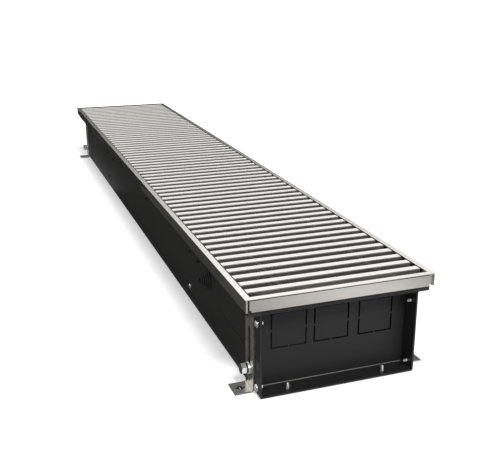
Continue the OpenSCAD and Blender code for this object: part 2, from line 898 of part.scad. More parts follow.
module exchanger_fins() {
  color("#c8ccd0") for (i = [0:fin_count - 1])
    translate([exch_x, fin_first_y + i * fin_pitch + fin_t, fin_mid_z])
      rotate([90, 0, 0]) linear_extrude(height = fin_t) difference() {
        square([fin_w, fin_h], center = true);
        for (side = [-1, 1], level = [-1, 1])
          translate([side * tube_span / 2, level * tube_rise / 2]) circle(r = tube_r + fit);
      }
}

// A straight tube along the length
module tube(x, y0, y1, z) {
  difference() {
    rod_y(x, y0, y1, z, tube_r);
    rod_y(x, y0 - cut, y1 + cut, z, tube_r - tube_wall);
  }
}

module exchanger_tubes() {
  color("#b46a3c") for (x = [supply_x, return_x]) {
    tube(x, tube_near_y, tube_far_y, low_z);
    tube(x, tail_y + collar_t, tube_far_y, high_z);
  }
}

// Half a ring of tube in the plane of X and Y, opening towards -Y
module half_ring(bend) {
  rotate_extrude(angle = 180) translate([bend, 0]) difference() {
    circle(r = tube_r);
    circle(r = tube_r - tube_wall);
  }
}

module return_bends() {
  color("#b46a3c") {
    for (x = [supply_x, return_x])
      translate([x, tube_far_y, fin_mid_z]) rotate([0, 90, 0]) half_ring(tube_rise / 2);
    translate([exch_x, tube_near_y, low_z]) mirror([0, 1, 0]) half_ring(tube_span / 2);
  }
}

// Supports

// A strip from wall to wall under the fins, with an arm up each wall
module cradle(y) {
  y0 = y - cradle_w / 2;
  y1 = y + cradle_w / 2;
  difference() {
    union() {
      block([-inner_x, y0, shelf_z - sheet_t], [inner_x, y1, shelf_z]);
      both_sides() block([-inner_x, y0, shelf_z - sheet_t], [-inner_x + sheet_t, y1, high_screw_z + tab_rise]);
    }
    both_sides() for (z = [low_screw_z, high_screw_z]) wall_hole(y, z);
  }
}

module cradle_near_bracket() {
  color("#3a3a3a") cradle(cradle_near_y);
}

module cradle_far_bracket() {
  color("#3a3a3a") cradle(cradle_far_y);
}

module cradle_screws() {
  color("#cfcdc6") both_sides() for (y = [cradle_near_y, cradle_far_y], z = [low_screw_z, high_screw_z])
    wall_screw(y, z, wall_screw_len, wall_head_r, wall_head_h);
}

// A strip from wall to wall over the fins, with a tab down each wall
module cross_brace(i) {
  y = brace_y(i);
  y0 = y - brace_w / 2;
  y1 = y + brace_w / 2;
  color("#3a3a3a") difference() {
    union() {
      block([-inner_x, y0, brace_z], [inner_x, y1, brace_z + sheet_t]);
      both_sides() block([-inner_x, y0, high_screw_z - tab_rise], [-inner_x + sheet_t, y1, brace_z + sheet_t]);
    }
    both_sides() wall_hole(y, high_screw_z);
    rod_z(baffle_x - baffle_flange / 2, y, brace_z - cut, brace_z + sheet_t + cut, baffle_screw_r + fit);
  }
}

module cross_brace_1() {
  cross_brace(0);
}

module cross_brace_2() {
  cross_brace(1);
}

module cross_brace_3() {
  cross_brace(2);
}

module cross_brace_4() {
  cross_brace(3);
}

module brace_screws() {
  color("#cfcdc6") both_sides() for (i = [0:brace_count - 1])
    wall_screw(brace_y(i), high_screw_z, wall_screw_len, wall_head_r, wall_head_h);
}

// The sheet that parts the cool air shaft from the fins, between cradles and braces
module air_baffle() {
  y0 = fin_first_y - baffle_lead;
  y1 = fin_last_y + baffle_trail;
  color("#4a4a4a") difference() {
    union() {
      block([baffle_x, y0, shelf_z], [baffle_x + sheet_t, y1, brace_z]);
      for (z = [shelf_z, brace_z - sheet_t])
        block([baffle_x - baffle_flange, y0, z], [baffle_x + sheet_t, y1, z + sheet_t]);
    }
    for (i = [0:brace_count - 1])
      rod_z(baffle_x - baffle_flange / 2, brace_y(i),
            brace_z - sheet_t - cut, brace_z + cut, baffle_screw_r + fit);
  }
}

module baffle_screws() {
  color("#cfcdc6") for (i = [0:brace_count - 1])
    translate([baffle_x - baffle_flange / 2, brace_y(i), brace_z + sheet_t])
      sheet_screw(wall_screw_len, baffle_screw_r, baffle_screw_head_r, baffle_screw_head_h);
}

// Valves

// A valve body along the length, with a threaded mouth, a stem boss and a neck
module valve_body(x) {
  color("#c9c3a0") difference() {
    union() {
      translate([x, valve_y, high_z]) rotate([-90, 0, 0])
        cylinder(h = port_depth + cap_wall, r = valve_hex_r, $fn = 6);
      rod_y(x, valve_y + cut, valve_end_y - valve_neck_len, high_z, valve_r);
      rod_y(x, valve_y + cut, valve_end_y, high_z, valve_neck_r);
      rod_z(x, stem_y, high_z, stem_top_z, valve_stem_r);
      rod_z(x, stem_y, high_z, stem_top_z + spindle_h, spindle_r);
    }
    rod_y(x, valve_y - cut, valve_y + port_depth, high_z, port_r);
    rod_y(x, valve_y, valve_end_y + cut, high_z, valve_bore_r);
  }
}

module supply_valve_body() {
  valve_body(supply_x);
}

module return_valve_body() {
  valve_body(return_x);
}

// The pocket that a cap needs over the valve's stem and spindle
module cap_pocket() {
  rod_z(0, 0, -cap_skirt - cut, 0, valve_stem_r + turn_gap);
  rod_z(0, 0, -cut, spindle_h + turn_gap, spindle_r + turn_gap);
}

// The fluted hand cap on the supply valve
module supply_hand_cap() {
  color("#f0f0ec") translate([supply_x, stem_y, stem_top_z + turn_gap]) difference() {
    union() {
      rod_z(0, 0, -cap_skirt, hand_cap_h - cap_wall - cap_skirt, hand_cap_r);
      translate([0, 0, hand_cap_h - cap_wall - cap_skirt])
        cylinder(h = cap_wall, r1 = hand_cap_r, r2 = hand_cap_r - cap_wall);
    }
    cap_pocket();
    for (i = [0:flute_count - 1]) rotate([0, 0, i * 360 / flute_count])
      rod_z(hand_cap_r + flute_r / 2, 0, -cap_skirt - cut, hand_cap_h, flute_r);
  }
}

// The lockshield cap on the return valve, with a hexagon to turn it by
module return_lockshield_cap() {
  top = lock_cap_h - cap_skirt;
  color("#f0f0ec") translate([return_x, stem_y, stem_top_z + turn_gap]) difference() {
    union() {
      rod_z(0, 0, -cap_skirt, top / 2, lock_cap_r);
      cylinder(h = top, r = lock_cap_r - cap_wall / 2, $fn = lock_cap_flats);
    }
    cap_pocket();
  }
}

// The flat seal between a valve and its tail
module valve_seals() {
  color("#202020") for (x = [supply_x, return_x]) difference() {
    rod_y(x, valve_end_y, tail_y, high_z, valve_neck_r);
    rod_y(x, valve_end_y - cut, tail_y + cut, high_z, valve_bore_r);
  }
}

// The union nut that draws a tail's collar against its valve
module union_nuts() {
  y1 = tail_y + collar_t + cap_wall;
  y0 = y1 - union_len;
  color("#c9c3a0") for (x = [supply_x, return_x]) difference() {
    translate([x, y0, high_z]) rotate([-90, 0, 0]) cylinder(h = union_len, r = union_r, $fn = 6);
    rod_y(x, y0 - cut, tail_y + collar_t, high_z, valve_neck_r + fit);
    rod_y(x, y0, y1 + cut, high_z, tail_r + fit);
  }
}

// The collared sleeve on the near end of each upper tube
module tube_tails() {
  color("#c9c3a0") for (x = [supply_x, return_x]) difference() {
    union() {
      rod_y(x, tail_y, tail_y + collar_t, high_z, valve_neck_r);
      rod_y(x, tail_y, tail_y + tail_len, high_z, tail_r);
    }
    rod_y(x, tail_y - cut, tail_y + tail_len + cut, high_z, tube_r - tube_wall);
    rod_y(x, tail_y + collar_t - fit, tail_y + tail_len + cut, high_z, tube_r + fit);
  }
}

// The bleed valve: a saddle round the return tube with a boss on top
module bleed_valve_body() {
  y = near_y + bleed_y;
  color("#c9c3a0") difference() {
    union() {
      rod_y(return_x, y - bleed_half, y + bleed_half, high_z, tail_r + tail_wall);
      rod_z(return_x, y, high_z, bleed_top_z, bleed_r);
    }
    rod_y(return_x, y - bleed_half - cut, y + bleed_half + cut, high_z, tube_r + fit);
    rod_z(return_x, y, bleed_top_z - bleed_depth, bleed_top_z + cut, bleed_screw_r + fit);
  }
}

// The bleed screw, with a square for the key
module bleed_screw() {
  y = near_y + bleed_y;
  color("#d8d4c0") translate([return_x, y, bleed_top_z]) {
    rod_z(0, 0, -bleed_depth + turn_gap, turn_gap, bleed_screw_r);
    translate([-bleed_key / 2, -bleed_key / 2, turn_gap]) cube([bleed_key, bleed_key, bleed_key_h]);
  }
}

trough_body();
end_plate_near();
end_plate_far();
frame_left();
frame_right();
frame_near();
frame_far();
frame_corner_keys();
frame_rivets();
grille_pad_left();
grille_pad_right();
grille_bars();
grille_springs();
grille_spacers();
foot_near_left();
foot_near_right();
foot_far_left();
foot_far_right();
foot_bolts();
foot_washers();
foot_rings();
foot_nuts();
end_plate_screws();
end_floor_screws();
cable_grommet();
exchanger_fins();
exchanger_tubes();
return_bends();
cradle_near_bracket();
cradle_far_bracket();
cradle_screws();
cross_brace_1();
cross_brace_2();
cross_brace_3();
cross_brace_4();
brace_screws();
air_baffle();
baffle_screws();
supply_valve_body();
supply_hand_cap();
return_valve_body();
return_lockshield_cap();
valve_seals();
union_nuts();
tube_tails();
bleed_valve_body();
bleed_screw();
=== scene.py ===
"""Looks of a floor-recessed trench convector heater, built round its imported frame."""

import json
import logging
import math
import random
from collections.abc import Callable, Iterator
from contextlib import contextmanager
from dataclasses import dataclass
from enum import Enum

import bpy
from mathutils import Matrix, Vector


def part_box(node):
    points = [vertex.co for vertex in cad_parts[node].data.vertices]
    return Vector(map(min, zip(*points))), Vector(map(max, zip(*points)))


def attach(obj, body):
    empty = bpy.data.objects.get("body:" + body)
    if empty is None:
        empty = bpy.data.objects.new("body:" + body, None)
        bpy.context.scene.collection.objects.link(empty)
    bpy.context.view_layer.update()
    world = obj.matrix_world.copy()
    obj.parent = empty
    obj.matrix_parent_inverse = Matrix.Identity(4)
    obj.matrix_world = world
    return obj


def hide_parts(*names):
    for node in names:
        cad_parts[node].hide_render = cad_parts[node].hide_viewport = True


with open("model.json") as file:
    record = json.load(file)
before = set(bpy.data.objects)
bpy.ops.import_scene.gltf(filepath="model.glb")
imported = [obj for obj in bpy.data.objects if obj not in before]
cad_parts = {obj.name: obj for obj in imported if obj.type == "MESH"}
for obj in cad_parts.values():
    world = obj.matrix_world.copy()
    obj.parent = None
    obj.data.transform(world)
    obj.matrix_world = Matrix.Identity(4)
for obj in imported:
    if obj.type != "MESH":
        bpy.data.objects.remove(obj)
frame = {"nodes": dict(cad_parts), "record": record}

LOG = logging.getLogger("heater")
MM = 0.001
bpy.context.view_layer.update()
BODY_OF = {node: body for body, nodes in frame["record"]["behaviour"]["bodies"].items() for node in nodes}
HAND = random.Random(11)
# Share of a face's normal along an axis from which the face counts as turned to it
FACING = 0.4
# Share under which a face counts as lying along the axis
ALONGSIDE = 0.3
# Distances in which points are one: in a turned body, a CAD node and its solids
TURN_WELD_MM = 0.0005
NODE_WELD_MM = 0.002
SOLID_WELD_MM = 0.01
# How near to a line its points are looked for
NEAR_MM = 0.05
# Overrun of a cut
CUT_MM = 0.01
# Steps of a thread in one turn
THREAD_STEPS = 16
# How far a thread's ridge is sunk in its core
ROOT_MM = 0.15
# Shares of radius and height of the rings of a domed screw head, from its seat to its crown
DOME_SHARES = ((1.0, 0.12), (1.0, 0.35), (0.93, 0.62), (0.78, 0.86), (0.6, 0.97), (0.5, 1.0))

WHITE = (1, 1, 1, 1)

Piece = bpy.types.Object
Tree = bpy.types.NodeTree
Node = bpy.types.Node
Socket = bpy.types.NodeSocket
Ring = tuple[float, float]
Plan = tuple[float, float]
Limits = tuple[float, float, float, float]
Box = tuple[Vector, Vector]
EdgeTest = Callable[[Vector, Vector], bool]
FaceTest = Callable[[Vector, Vector], bool]


class Axis(Enum):
    """The direction in which a profile was drawn or a sheet was rolled."""

    ACROSS = 0
    ALONG = 1
    UP = 2


class Heading(Enum):
    """Where a fastener's head points."""

    OUTWARD = "away from the middle of the width"
    UP = "up"
    DOWN = "down"


def linear(hex_colour: str) -> tuple[float, float, float, float]:
    """Turns an sRGB hex colour into linear light.

    Args:
        hex_colour: Six hex digits after a hash sign.

    Returns:
        Red, green, blue and alpha.
    """
    parts = [int(hex_colour[i:i + 2], 16) / 255 for i in (1, 3, 5)]
    light = [c / 12.92 if c <= 0.04045 else ((c + 0.055) / 1.055) ** 2.4 for c in parts]
    return (light[0], light[1], light[2], 1.0)


def add_node(tree: Tree, kind: str, values: dict | None = None,
             links: dict | None = None, **settings: object) -> Node:
    """Adds a node with its settings, values and incoming links.

    Args:
        tree: The node tree.
        kind: The node's type name.
        values: Input name or index to value.
        links: Input name or index to the socket that feeds it.
        **settings: Properties of the node itself.

    Returns:
        The new node.
    """
    node = tree.nodes.new(kind)
    for key, value in settings.items():
        setattr(node, key, value)
    for key, value in (values or {}).items():
        node.inputs[key].default_value = value
    for key, socket in (links or {}).items():
        tree.links.new(socket, node.inputs[key])
    return node


# Finishes


@dataclass(frozen=True)
class Finish:
    """A surface, named for the real material and for how it was made."""

    name: str
    colour: str
    roughness: float
    metallic: float = 0.0
    specular: float = 0.5
    grain_mm: float = 1.0
    relief_mm: float = 0.01
    uneven: float = 0.1

    def material(self) -> bpy.types.Material:
        """Returns the material, which is made the first time it is asked for."""
        made = bpy.data.materials.get(self.name)
        if made:
            return made
        made = bpy.data.materials.new(self.name)
        made.use_nodes = True
        tree = made.node_tree
        shader = tree.nodes["Principled BSDF"]
        shader.inputs["Base Color"].default_value = linear(self.colour)
        shader.inputs["Metallic"].default_value = self.metallic
        shader.inputs["Roughness"].default_value = self.roughness
        shader.inputs["Specular IOR Level"].default_value = self.specular
        self.texture(tree, shader)
        return made

    def texture(self, tree: Tree, shader: Node) -> None:
        """Lays the pattern on the shader: here, an even grain.

        Args:
            tree: The material's node tree.
            shader: Its Principled BSDF.
        """
        grain = self.noise(tree, (1.0, 1.0, 1.0))
        self.wear(tree, shader, grain.outputs["Fac"])
        self.relief(tree, shader, grain.outputs["Fac"])

    def noise(self, tree: Tree, stretch: tuple[float, float, float],
              size_mm: float | None = None) -> Node:
        """Adds noise of the finish's own grain size.

        Args:
            tree: The node tree.
            stretch: How many times longer the grain is along each axis.
            size_mm: Grain size, where it isn't the finish's own.

        Returns:
            The noise node.
        """
        place = add_node(tree, "ShaderNodeTexCoord")
        scale = tuple(1.0 / s for s in stretch)
        mapping = add_node(tree, "ShaderNodeMapping", {"Scale": scale}, {"Vector": place.outputs["Object"]})
        return add_node(tree, "ShaderNodeTexNoise",
                        {"Scale": 1.0 / ((size_mm or self.grain_mm) * MM), "Detail": 3.0},
                        {"Vector": mapping.outputs["Vector"]})

    def wear(self, tree: Tree, shader: Node,
             pattern: Socket) -> None:
        """Varies the colour and the roughness a little by a pattern.

        Args:
            tree: The node tree.
            shader: The Principled BSDF.
            pattern: Values from 0 to 1.
        """
        base = linear(self.colour)
        dark = tuple(c * (1 - self.uneven) for c in base[:3]) + (1.0,)
        light = tuple(min(1.0, c * (1 + self.uneven)) for c in base[:3]) + (1.0,)
        tint = add_node(tree, "ShaderNodeMix", {6: dark, 7: light}, {0: pattern}, data_type="RGBA")
        tree.links.new(tint.outputs[2], shader.inputs["Base Color"])
        low = self.roughness * (1 - self.uneven)
        high = min(1.0, self.roughness * (1 + self.uneven))
        rough = add_node(tree, "ShaderNodeMapRange", {"To Min": low, "To Max": high}, {"Value": pattern})
        tree.links.new(rough.outputs["Result"], shader.inputs["Roughness"])

    def relief(self, tree: Tree, shader: Node,
               pattern: Socket) -> None:
        """Raises the surface by a pattern.

        Args:
            tree: The node tree.
            shader: The Principled BSDF.
            pattern: Height from 0 to 1.
        """
        bump = add_node(tree, "ShaderNodeBump", {"Strength": 0.6, "Distance": self.relief_mm * MM},
                        {"Height": pattern})
        tree.links.new(bump.outputs["Normal"], shader.inputs["Normal"])


@dataclass(frozen=True)
class DrawnMetal(Finish):
    """Metal with fine lines left by the die, the brush or the rolls."""

    drawn: Axis = Axis.ALONG
    draw_ratio: float = 60.0

    def texture(self, tree: Tree, shader: Node) -> None:
        """Lays lines along the drawn direction."""
        stretch = [1.0, 1.0, 1.0]
        stretch[self.drawn.value] = self.draw_ratio
        lines = self.noise(tree, (stretch[0], stretch[1], stretch[2]))
        self.wear(tree, shader, lines.outputs["Fac"])
        self.relief(tree, shader, lines.outputs["Fac"])


@dataclass(frozen=True)
class SpangledZinc(Finish):
    """Hot-dip zinc, whose crystals show as patches of different sheen."""

    def texture(self, tree: Tree, shader: Node) -> None:
        """Lays crystals of the grain's size, each with its own tone."""
        place = add_node(tree, "ShaderNodeTexCoord")
        cells = add_node(tree, "ShaderNodeTexVoronoi", {"Scale": 1.0 / (self.grain_mm * MM)},
                         {"Vector": place.outputs["Object"]})
        tone = add_node(tree, "ShaderNodeSeparateColor", links={"Color": cells.outputs["Color"]})
        self.wear(tree, shader, tone.outputs["Red"])
        fine = self.noise(tree, (1.0, 1.0, 1.0), self.grain_mm / 6)
        self.relief(tree, shader, fine.outputs["Fac"])


# Grains and lines are drawn at 0.4 to 1.2 mm, coarser than the real ones, which are too fine to be seen

# Polyester powder, baked to a fine orange peel: dull black with a soft sheen
POWDER_COAT = Finish("black powder coat", "#1f1f1f", 0.46, specular=0.32, grain_mm=0.9,
                     relief_mm=0.012, uneven=0.08)
# The same coat, painted lighter on the long sheet of the trough as painted light on its side walls
LIT_TROUGH_COAT = Finish("black powder coat, painted lighter", "#2c2c2c", 0.46, specular=0.32, grain_mm=0.9,
                     relief_mm=0.012, uneven=0.06)
BRACKET_COAT = Finish("black coated bracket", "#1f1f1f", 0.55, specular=0.3, grain_mm=0.9, relief_mm=0.02)
# Painted highlight along the tray's lower bend, paler than the coat
PAINTED_BEND_HIGHLIGHT = Finish("painted highlight along a tray's bend", "#62625f", 0.5, 0.3, grain_mm=0.6, relief_mm=0.002, uneven=0.1)
# Extruded, then satin anodised: a pale sheen with faint die lines along the length
FRAME_SIDE = DrawnMetal("anodised side profile", "#d6d3cd", 0.18, 1.0, grain_mm=0.9, relief_mm=0.001,
                        uneven=0.03, drawn=Axis.ALONG)
FRAME_END = DrawnMetal("anodised end profile", "#d6d3cd", 0.18, 1.0, grain_mm=0.9, relief_mm=0.001,
                       uneven=0.03, drawn=Axis.ACROSS)
# Painted shade in the narrow groove under the frame's top
FRAME_GROOVE_SHADE = Finish("painted shade in the frame's groove", "#4c4a46", 0.5, 0.6, grain_mm=0.6, relief_mm=0.002,
                      uneven=0.04)
# The bars' crowns are matt from brushing, so they stay pale from low down
BAR_CROWN = DrawnMetal("brushed bar crown", "#fcfaf4", 0.42, 0.6, grain_mm=0.9, relief_mm=0.004,
                       uneven=0.04, drawn=Axis.ACROSS)
# Their shoulders and flanks are painted darker as shade between the bars, with die lines along the bar
SHADED_BAR_SHOULDER = DrawnMetal("bar shoulder, painted shade", "#74726e", 0.38, 0.95, grain_mm=0.9, relief_mm=0.004,
                          drawn=Axis.ACROSS)
SHADED_BAR_FLANK = DrawnMetal("bar flank, painted shade", "#a9a7a2", 0.38, 0.95, grain_mm=0.9, relief_mm=0.003,
                       uneven=0.08, drawn=Axis.ACROSS)
# Rolled sheet, dipped in zinc: pale grey crystals
ZINC_SHEET = SpangledZinc("galvanised sheet", "#d8d6ce", 0.3, 0.92, grain_mm=4.0, relief_mm=0.002, uneven=0.1)
# The same sheet, painted darker grey as shade on the upward faces of the foot plates
SHADED_ZINC = Finish("zinc sheet, painted shade", "#5c5b57", 0.5, 0.6, grain_mm=2.0, relief_mm=0.002, uneven=0.1)
# Turned or headed steel, electroplated with zinc: bright, a little blue
ZINC_PLATE = Finish("zinc plated steel", "#f4f4f0", 0.22, 0.8, grain_mm=0.6, relief_mm=0.002, uneven=0.04)
# The same plating, painted white as a highlight on the bolts' front flats and on the left screw tips
PAINTED_HIGHLIGHT = Finish("painted highlight on zinc plate", "#ffffff", 0.5, 0.3, grain_mm=0.6, relief_mm=0.002, uneven=0.02)
# The same plating, painted darker as shade on the bolts' faces that look along their axis
SHADED_BOLT_FACE = Finish("bolt face, painted shade", "#8a8a86", 0.4, 0.9, grain_mm=0.6, relief_mm=0.004,
                   uneven=0.06)
# The same screws, painted dark as shade: only a dull glint is left
SHADED_SCREW = Finish("screw, painted shade", "#3c3c3b", 0.42, 0.9, grain_mm=0.6, relief_mm=0.003)
SPRING = DrawnMetal("drawn spring wire", "#9c9c9a", 0.3, 1.0, grain_mm=0.4, drawn=Axis.ALONG)
RIVET = Finish("plain aluminium rivet", "#b8b8b6", 0.35, 1.0, grain_mm=0.6)
# Cast aluminium corner keys: those on the left are painted black as shade, those on the right are left bare
SHADED_KEY = Finish("corner key, painted shade", "#131313", 0.5, grain_mm=0.8)
BARE_KEY = Finish("bare aluminium key", "#cfcdc8", 0.38, 1.0, grain_mm=0.8, uneven=0.08)
# Synthetic rubber from a mould: matte, with hardly any highlight
RUBBER = Finish("moulded black rubber", "#141414", 0.6, specular=0.35, grain_mm=0.7, relief_mm=0.012)
# Painted highlights on the grommet's ribs, grey on the black rubber
PAINTED_RIB_HIGHLIGHT = Finish("rubber rib, painted highlight", "#5a5a58", 0.5, specular=0.5, grain_mm=0.7, relief_mm=0.006)
SEAL = Finish("fibre seal", "#2a2a2a", 0.8, specular=0.2, grain_mm=0.5)
SLEEVE = Finish("black polyamide sleeve", "#191919", 0.45, grain_mm=0.8)
# Rolled foil, as it comes from the mill: bright, with faint rolling lines
FIN = DrawnMetal("mill aluminium fin", "#c9ccd0", 0.28, 1.0, grain_mm=0.7, relief_mm=0.006, drawn=Axis.UP)
# Drawn copper tube, a little tarnished
COPPER = DrawnMetal("drawn copper tube", "#b9714a", 0.3, 1.0, grain_mm=1.2, uneven=0.18, drawn=Axis.ALONG)
# Forged and machined brass under nickel
NICKEL = Finish("nickel plated brass", "#cfc8b8", 0.26, 1.0, grain_mm=0.8, uneven=0.08)
# Glossy moulding with a fine spark-eroded grain
WHITE_CAP = Finish("white moulded cap", "#ecebe6", 0.38, grain_mm=0.6, relief_mm=0.01, uneven=0.03)


NODES_OF: dict[Finish, str] = {
    # Painted light: the trough's coat is lighter than the end plates'
    LIT_TROUGH_COAT: "trough_body",
    POWDER_COAT: "end_plate_near end_plate_far",
    FRAME_SIDE: "frame_left frame_right",
    FRAME_END: "frame_near frame_far",
    # Painted shade: the corner keys' black
    SHADED_KEY: "frame_corner_keys",
    RIVET: "frame_rivets",
    RUBBER: "grille_pad_left grille_pad_right foot_rings cable_grommet",
    BAR_CROWN: "grille_bars",
    SPRING: "grille_springs",
    SLEEVE: "grille_spacers",
    ZINC_SHEET: "foot_near_left foot_near_right foot_far_left foot_far_right",
    ZINC_PLATE: "foot_bolts foot_washers foot_nuts end_plate_screws end_floor_screws baffle_screws",
    # Painted shade: these screws' black, kept off the near, low cradle screws by a patch
    SHADED_SCREW: "cradle_screws brace_screws",
    BRACKET_COAT: "cradle_near_bracket cradle_far_bracket cross_brace_1 cross_brace_2 cross_brace_3 "
                  "cross_brace_4 air_baffle",
    FIN: "exchanger_fins",
    COPPER: "exchanger_tubes return_bends",
    NICKEL: "supply_valve_body return_valve_body union_nuts tube_tails bleed_valve_body bleed_screw",
    WHITE_CAP: "supply_hand_cap return_lockshield_cap",
    SEAL: "valve_seals",
}
NODE_FINISH = {node: finish for finish, nodes in NODES_OF.items() for node in nodes.split()}


# Work at the bench


def only(piece: Piece) -> None:
    """Selects one object alone and makes it active."""
    bpy.ops.object.select_all(action="DESELECT")
    piece.select_set(True)
    bpy.context.view_layer.objects.active = piece


@contextmanager
def editing(select: str = "SELECT") -> Iterator[None]:
    """Opens the active mesh, with all of it or nothing selected, and closes it again."""
    bpy.ops.object.mode_set(mode="EDIT")
    bpy.ops.mesh.select_all(action=select)
    yield
    bpy.ops.object.mode_set(mode="OBJECT")


def dress(piece: Piece, finish: Finish) -> None:
    """Gives a piece one material."""
    piece.data.materials.clear()
    piece.data.materials.append(finish.material())


def modify(piece: Piece, kind: str, **settings: object) -> None:
    """Adds a modifier and applies it.

    Args:
        piece: The object.
        kind: The modifier's type.
        **settings: Its properties.
    """
    only(piece)
    modifier = piece.modifiers.new(kind.lower(), kind)
    for key, value in settings.items():
        setattr(modifier, key, value)
    bpy.ops.object.modifier_apply(modifier=modifier.name)


def smooth(piece: Piece, angle_deg: float = 30.0) -> None:
    """Shades a piece smooth, with its corners sharp and its large faces flat."""
    only(piece)
    bpy.ops.object.shade_smooth_by_angle(angle=math.radians(angle_deg))
    modify(piece, "WEIGHTED_NORMAL", mode="FACE_AREA", weight=50, keep_sharp=True)


def pick_edges(piece: Piece, test: EdgeTest) -> None:
    """Enters edit mode with the edges selected whose two ends, in millimetres, pass a test."""
    only(piece)
    bpy.context.tool_settings.mesh_select_mode = (False, True, False)
    with editing("DESELECT"):
        pass
    ends = [v.co / MM for v in piece.data.vertices]
    for edge in piece.data.edges:
        edge.select = test(ends[edge.vertices[0]], ends[edge.vertices[1]])
    bpy.ops.object.mode_set(mode="EDIT")


def turn(rings: list[Ring], sides: int = 32, loop: bool = False) -> Piece:
    """Turns a body about Z: a circle is drawn at the first ring and extruded through the others.

    Args:
        rings: Radius and height of each ring, in millimetres.
        sides: Number of sides, such as 6 for a hexagon.
        loop: Whether the last ring joins the first, as in a washer. Else both ends are closed.

    Returns:
        The body, about the origin.
    """
    bpy.ops.object.select_all(action="DESELECT")
    radius, height = rings[0]
    bpy.ops.mesh.primitive_circle_add(vertices=sides, radius=radius * MM, location=(0, 0, 0),
                                      fill_type="NOTHING" if loop else "NGON")
    piece = bpy.context.active_object
    with editing():
        bpy.ops.transform.translate(value=(0, 0, height * MM))
        for next_radius, next_height in rings[1:] + (rings[:1] if loop else []):
            bpy.ops.mesh.extrude_region_move(
                TRANSFORM_OT_translate={"value": (0, 0, (next_height - height) * MM)})
            ratio = next_radius / radius
            bpy.ops.transform.resize(value=(ratio, ratio, 1), center_override=(0, 0, next_height * MM))
            radius, height = next_radius, next_height
        bpy.ops.mesh.select_all(action="SELECT")
        bpy.ops.mesh.remove_doubles(threshold=TURN_WELD_MM * MM)
        bpy.ops.mesh.normals_make_consistent(inside=False)
    return piece


def wind_thread(radius: float, depth: float, pitch: float, start: float, end: float) -> Piece:
    """Winds a pointed ridge about Z, with closed ends.

    Args:
        radius: Outer radius, in millimetres as are the others.
        depth: Depth of the ridge.
        pitch: Rise of each turn.
        start: Height of the first turn.
        end: Height that the last turn stays under.

    Returns:
        The ridge.
    """
    bpy.ops.object.select_all(action="DESELECT")
    bpy.ops.mesh.primitive_circle_add(vertices=3, radius=depth * 2 / 3 * MM, location=(0, 0, 0),
                                      rotation=(math.pi / 2, math.pi / 2, 0))
    ridge = bpy.context.active_object
    bpy.ops.object.transform_apply(location=True, rotation=True, scale=True)
    with editing():
        bpy.ops.transform.translate(value=((radius - depth * 2 / 3) * MM, 0, (start + depth / 2) * MM))
    turns = max(1, math.floor((end - start - depth) / pitch))
    modify(ridge, "SCREW", angle=2 * math.pi, screw_offset=pitch * MM, iterations=turns, steps=THREAD_STEPS,
           render_steps=THREAD_STEPS, axis="Z", use_smooth_shade=False)
    only(ridge)
    with editing():
        bpy.ops.mesh.fill_holes(sides=3)
        bpy.ops.mesh.normals_make_consistent(inside=False)
    return ridge


def combine(piece: Piece, tool: Piece, operation: str) -> None:
    """Cuts, keeps or joins by a second body, which is used up."""
    modify(piece, "BOOLEAN", object=tool, operation=operation, solver="EXACT")
    bpy.data.objects.remove(tool, do_unlink=True)


def join(pieces: list[Piece]) -> Piece:
    """Joins pieces into the first one."""
    only(pieces[0])
    for piece in pieces[1:]:
        piece.select_set(True)
    if len(pieces) > 1:
        bpy.ops.object.join()
    return pieces[0]


def stamp(pattern: Piece, places: list[Matrix], node: str, patches: tuple["Patch", ...] = ()) -> None:
    """Copies a pattern to its places and puts the copies where a CAD node was.

    Args:
        pattern: The finished shape about the origin, which is used up.
        places: Where each copy stands.
        node: The CAD node that they stand for.
        patches: Faces with a finish of their own.
    """
    smooth(pattern)
    copies = []
    for place in places:
        copy = bpy.data.objects.new(node + "_finished", pattern.data.copy())
        bpy.context.scene.collection.objects.link(copy)
        copy.data.transform(place)
        copies.append(copy)
    bpy.data.objects.remove(pattern, do_unlink=True)
    whole = join(copies)
    dress(whole, NODE_FINISH[node])
    lay_patches(whole, patches)
    stand_for(whole, node)


def stand_for(piece: Piece, node: str) -> None:
    """Puts a finished piece in a CAD node's place, on its body."""
    piece.name = node + "_finished"
    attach(piece, BODY_OF[node])
    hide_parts(node)
    LOG.info("%s: %d faces on %s", piece.name, len(piece.data.polygons), BODY_OF[node])


def solids(node: str) -> list[Box]:
    """Finds the box of each separate solid of a CAD node.

    Args:
        node: The CAD node's name.

    Returns:
        The lowest and highest corner of each solid, in millimetres.
    """
    mesh = frame["nodes"][node].data
    spots = [tuple(round(c / (SOLID_WELD_MM * MM)) for c in v.co) for v in mesh.vertices]
    lead = {spot: spot for spot in spots}

    def head(spot: tuple[int, ...]) -> tuple[int, ...]:
        """Follows a spot to the one that stands for its solid."""
        while lead[spot] != spot:
            spot = lead[spot]
        return spot

    for face in mesh.polygons:
        heads = [head(spots[i]) for i in face.vertices]
        for other in heads[1:]:
            lead[head(other)] = head(heads[0])
    groups: dict[tuple[int, ...], list[Vector]] = {}
    for spot, vertex in zip(spots, mesh.vertices):
        groups.setdefault(head(spot), []).append(vertex.co / MM)
    return [(Vector([min(p[i] for p in group) for i in range(3)]),
             Vector([max(p[i] for p in group) for i in range(3)])) for group in groups.values()]


